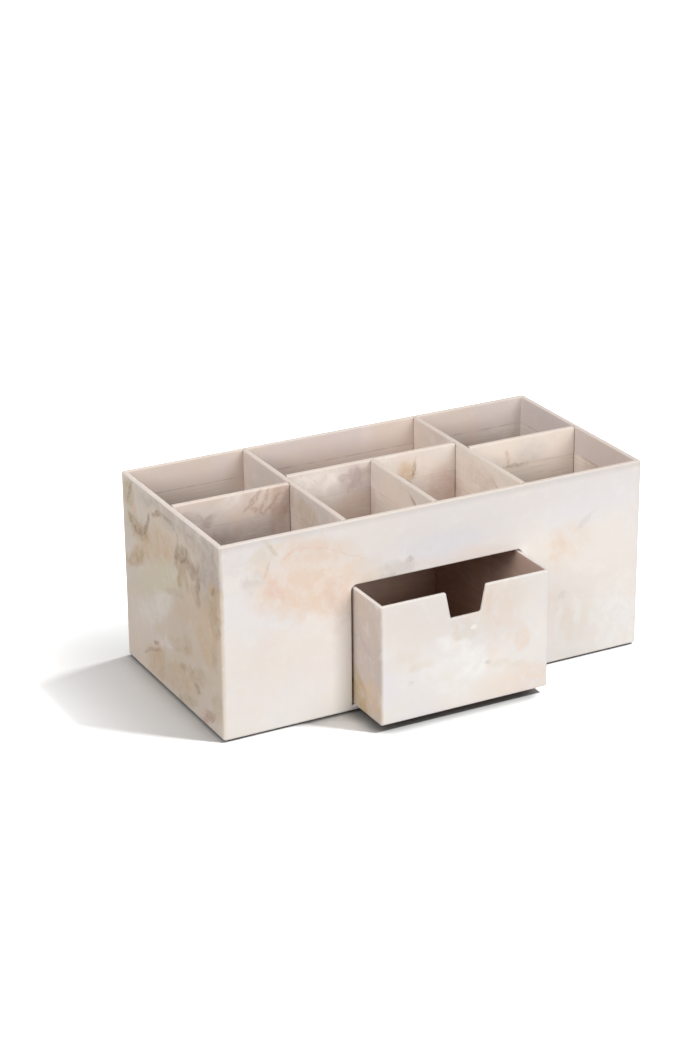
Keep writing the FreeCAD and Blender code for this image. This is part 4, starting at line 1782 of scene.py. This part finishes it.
@dataclass
class Floor:
    """The white floor. It takes the organiser's shadow and shows pure white away from it.

    footprints are the case's and the drawer's, by their middle and half sizes, and bay is where the
    drawer stands over the floor. The close shade reaches clear_within from what stands on the floor: open
    floor shows tone, and full shade takes shade off it. The glow is lift on open floor; from glow_from
    away it rises by rise with the distance and with its square, up to glow_most.
    """

    half: float = 9.0
    albedo: Colour = (0.25, 0.25, 0.25, 1.0)
    footprints: Tuple[Tuple[Place, Place], ...] = (
        ((0.0, 0.0, 0.0), (125.0, 61.0, 9.0)),
        ((0.0, -31.0, 0.0), (50.0, 59.0, 9.0)),
    )
    bay: Tuple[Place, Place] = ((-6.0, -150.0, 0.0), (44.0, 150.0, 9.0))
    clear_within: float = 14.0
    rays: int = 12
    tone: float = 0.9
    shade: float = 0.42
    lift: float = 0.17
    glow_from: float = 11.0
    rise: Tuple[float, float] = (0.0038, 0.0001)
    glow_most: float = 0.8

    def lay(self) -> bpy.types.Object:
        """Lays the floor and gives it its material."""
        mesh = bpy.data.meshes.new("floor")
        corners = [(x * self.half, y * self.half, 0.0) for x, y in ((-1, -1), (1, -1), (1, 1), (-1, 1))]
        mesh.from_pydata(corners, [], [(0, 1, 2, 3)])
        floor = link("floor", mesh)
        material = bpy.data.materials.new("white_floor")
        self._shade(Tree(material))
        mesh.materials.append(material)
        return floor

    def _shade(self, tree: Tree) -> None:
        """Matt white as the camera sees it, darker close to what stands on it, with a glow that brightens
        it to
        white away from there: by a steady lift, and by one that rises with the distance and its square."""
        place, seen = tree.millimetres(), tree.ray("Is Camera Ray")
        near = tree.least(*(tree.beyond(place, *footprint) for footprint in self.footprints))
        distance = {"Distance": self.clear_within * MM}
        clear = tree.node("ShaderNodeAmbientOcclusion", {"samples": self.rays}, distance, "AO")
        past = tree.most(near - self.glow_from, 0.0)
        glow = tree.least(past * (past * self.rise[1] + self.rise[0]), self.glow_most)
        glow = tree.step(clear, 0.5, 1.0, 0.0, self.lift) + glow
        under = tree.step(tree.beyond(place, *self.bay), 0.0, 10.0, 1.0, 0.0)
        shown = tree.mix(self.tone - tree.step(clear, 0.45, 0.98, self.shade, 0.0) * under, BLACK, WHITE)
        matt = tree.node("ShaderNodeBsdfDiffuse", None, {"Color": tree.mix(seen, self.albedo, shown)})
        sockets = {"Color": tree.mix(glow * seen, BLACK, WHITE), "Strength": 1.0}
        lit = tree.node("ShaderNodeEmission", None, sockets)
        tree.close(tree.node("ShaderNodeAddShader", None, {0: matt, 1: lit}))


@dataclass
class Stage:
    """The white surround that the organiser stands in, its floor, its soft lamps and its camera."""

    camera_place: Place = (-0.62554, -1.15404, 0.61027)
    right: Place = (0.8837538, -0.46787822, -0.00831867)
    down: Place = (-0.18380672, -0.33072639, -0.9256539)
    forward: Place = (0.4303421, 0.81957918, -0.37827986)
    lens: float = 90.35
    sensor: float = 36.0
    ambient: float = 0.36
    lamps: Tuple[Lamp, ...] = (
        Lamp("floor_front_lamp", (1.0, -1.0, 1.95), 0.26, 62.0, lights=Lit.FLOOR),
        Lamp("floor_side_lamp", (1.06, 0.21, 2.09), 0.26, 22.0, lights=Lit.FLOOR),
        Lamp("soft_box", (0.37, -1.75, 0.65), 0.7, 18.3, (1.0, 0.995, 0.985)),
        Lamp("left_fill", (-1.46, -0.53, 1.09), 1.2, 18.0, (1.0, 0.985, 0.965)),
        Lamp("back_fill", (0.55, 1.75, 0.34), 0.6, 7.5, (1.0, 0.99, 0.98)),
    )

    def build(self) -> None:
        """Lays the floor, sets the world, hangs the lamps and places the camera."""
        floor = Floor().lay()
        self._surround()
        for lamp in self.lamps:
            lamp.hang(floor)
        self._camera()
        bpy.context.scene.view_settings.view_transform = "Standard"

    def _surround(self) -> None:
        """An even white surround, dimmer where it lights than where it is seen."""
        world = bpy.data.worlds.new("surround")
        bpy.context.scene.world = world
        tree = Tree(world)
        seen = tree.most(*(tree.ray(f"Is {kind} Ray") for kind in ("Glossy", "Transmission", "Camera")))
        sockets = {"Color": WHITE, "Strength": tree.step(seen, 0.0, 1.0, self.ambient, 1.0)}
        tree.close(tree.node("ShaderNodeBackground", None, sockets), "ShaderNodeOutputWorld")

    def _camera(self) -> None:
        """Places the camera by its three directions."""
        camera = link("camera", bpy.data.cameras.new("camera"))
        camera.data.lens = self.lens
        camera.data.sensor_width = self.sensor
        camera.data.sensor_fit = "AUTO"
        camera.data.clip_start, camera.data.clip_end = 0.01, 50.0
        right, down, forward = Vector(self.right), Vector(self.down), Vector(self.forward)
        turn = Matrix((right, -down, -forward)).transposed().to_4x4()
        camera.matrix_world = Matrix.Translation(Vector(self.camera_place)) @ turn
        bpy.context.scene.camera = camera


def main() -> None:
    """Builds the stage, the case and the drawer, and dresses the CAD nodes that stay."""
    logging.basicConfig(level=logging.INFO, format="%(name)s: %(message)s")
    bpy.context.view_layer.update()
    Stage().build()
    Case().build()
    Drawer().build()
    CarriedOver().dress(frame["nodes"])
    bpy.context.view_layer.update()


if __name__ == "__main__":
    main()
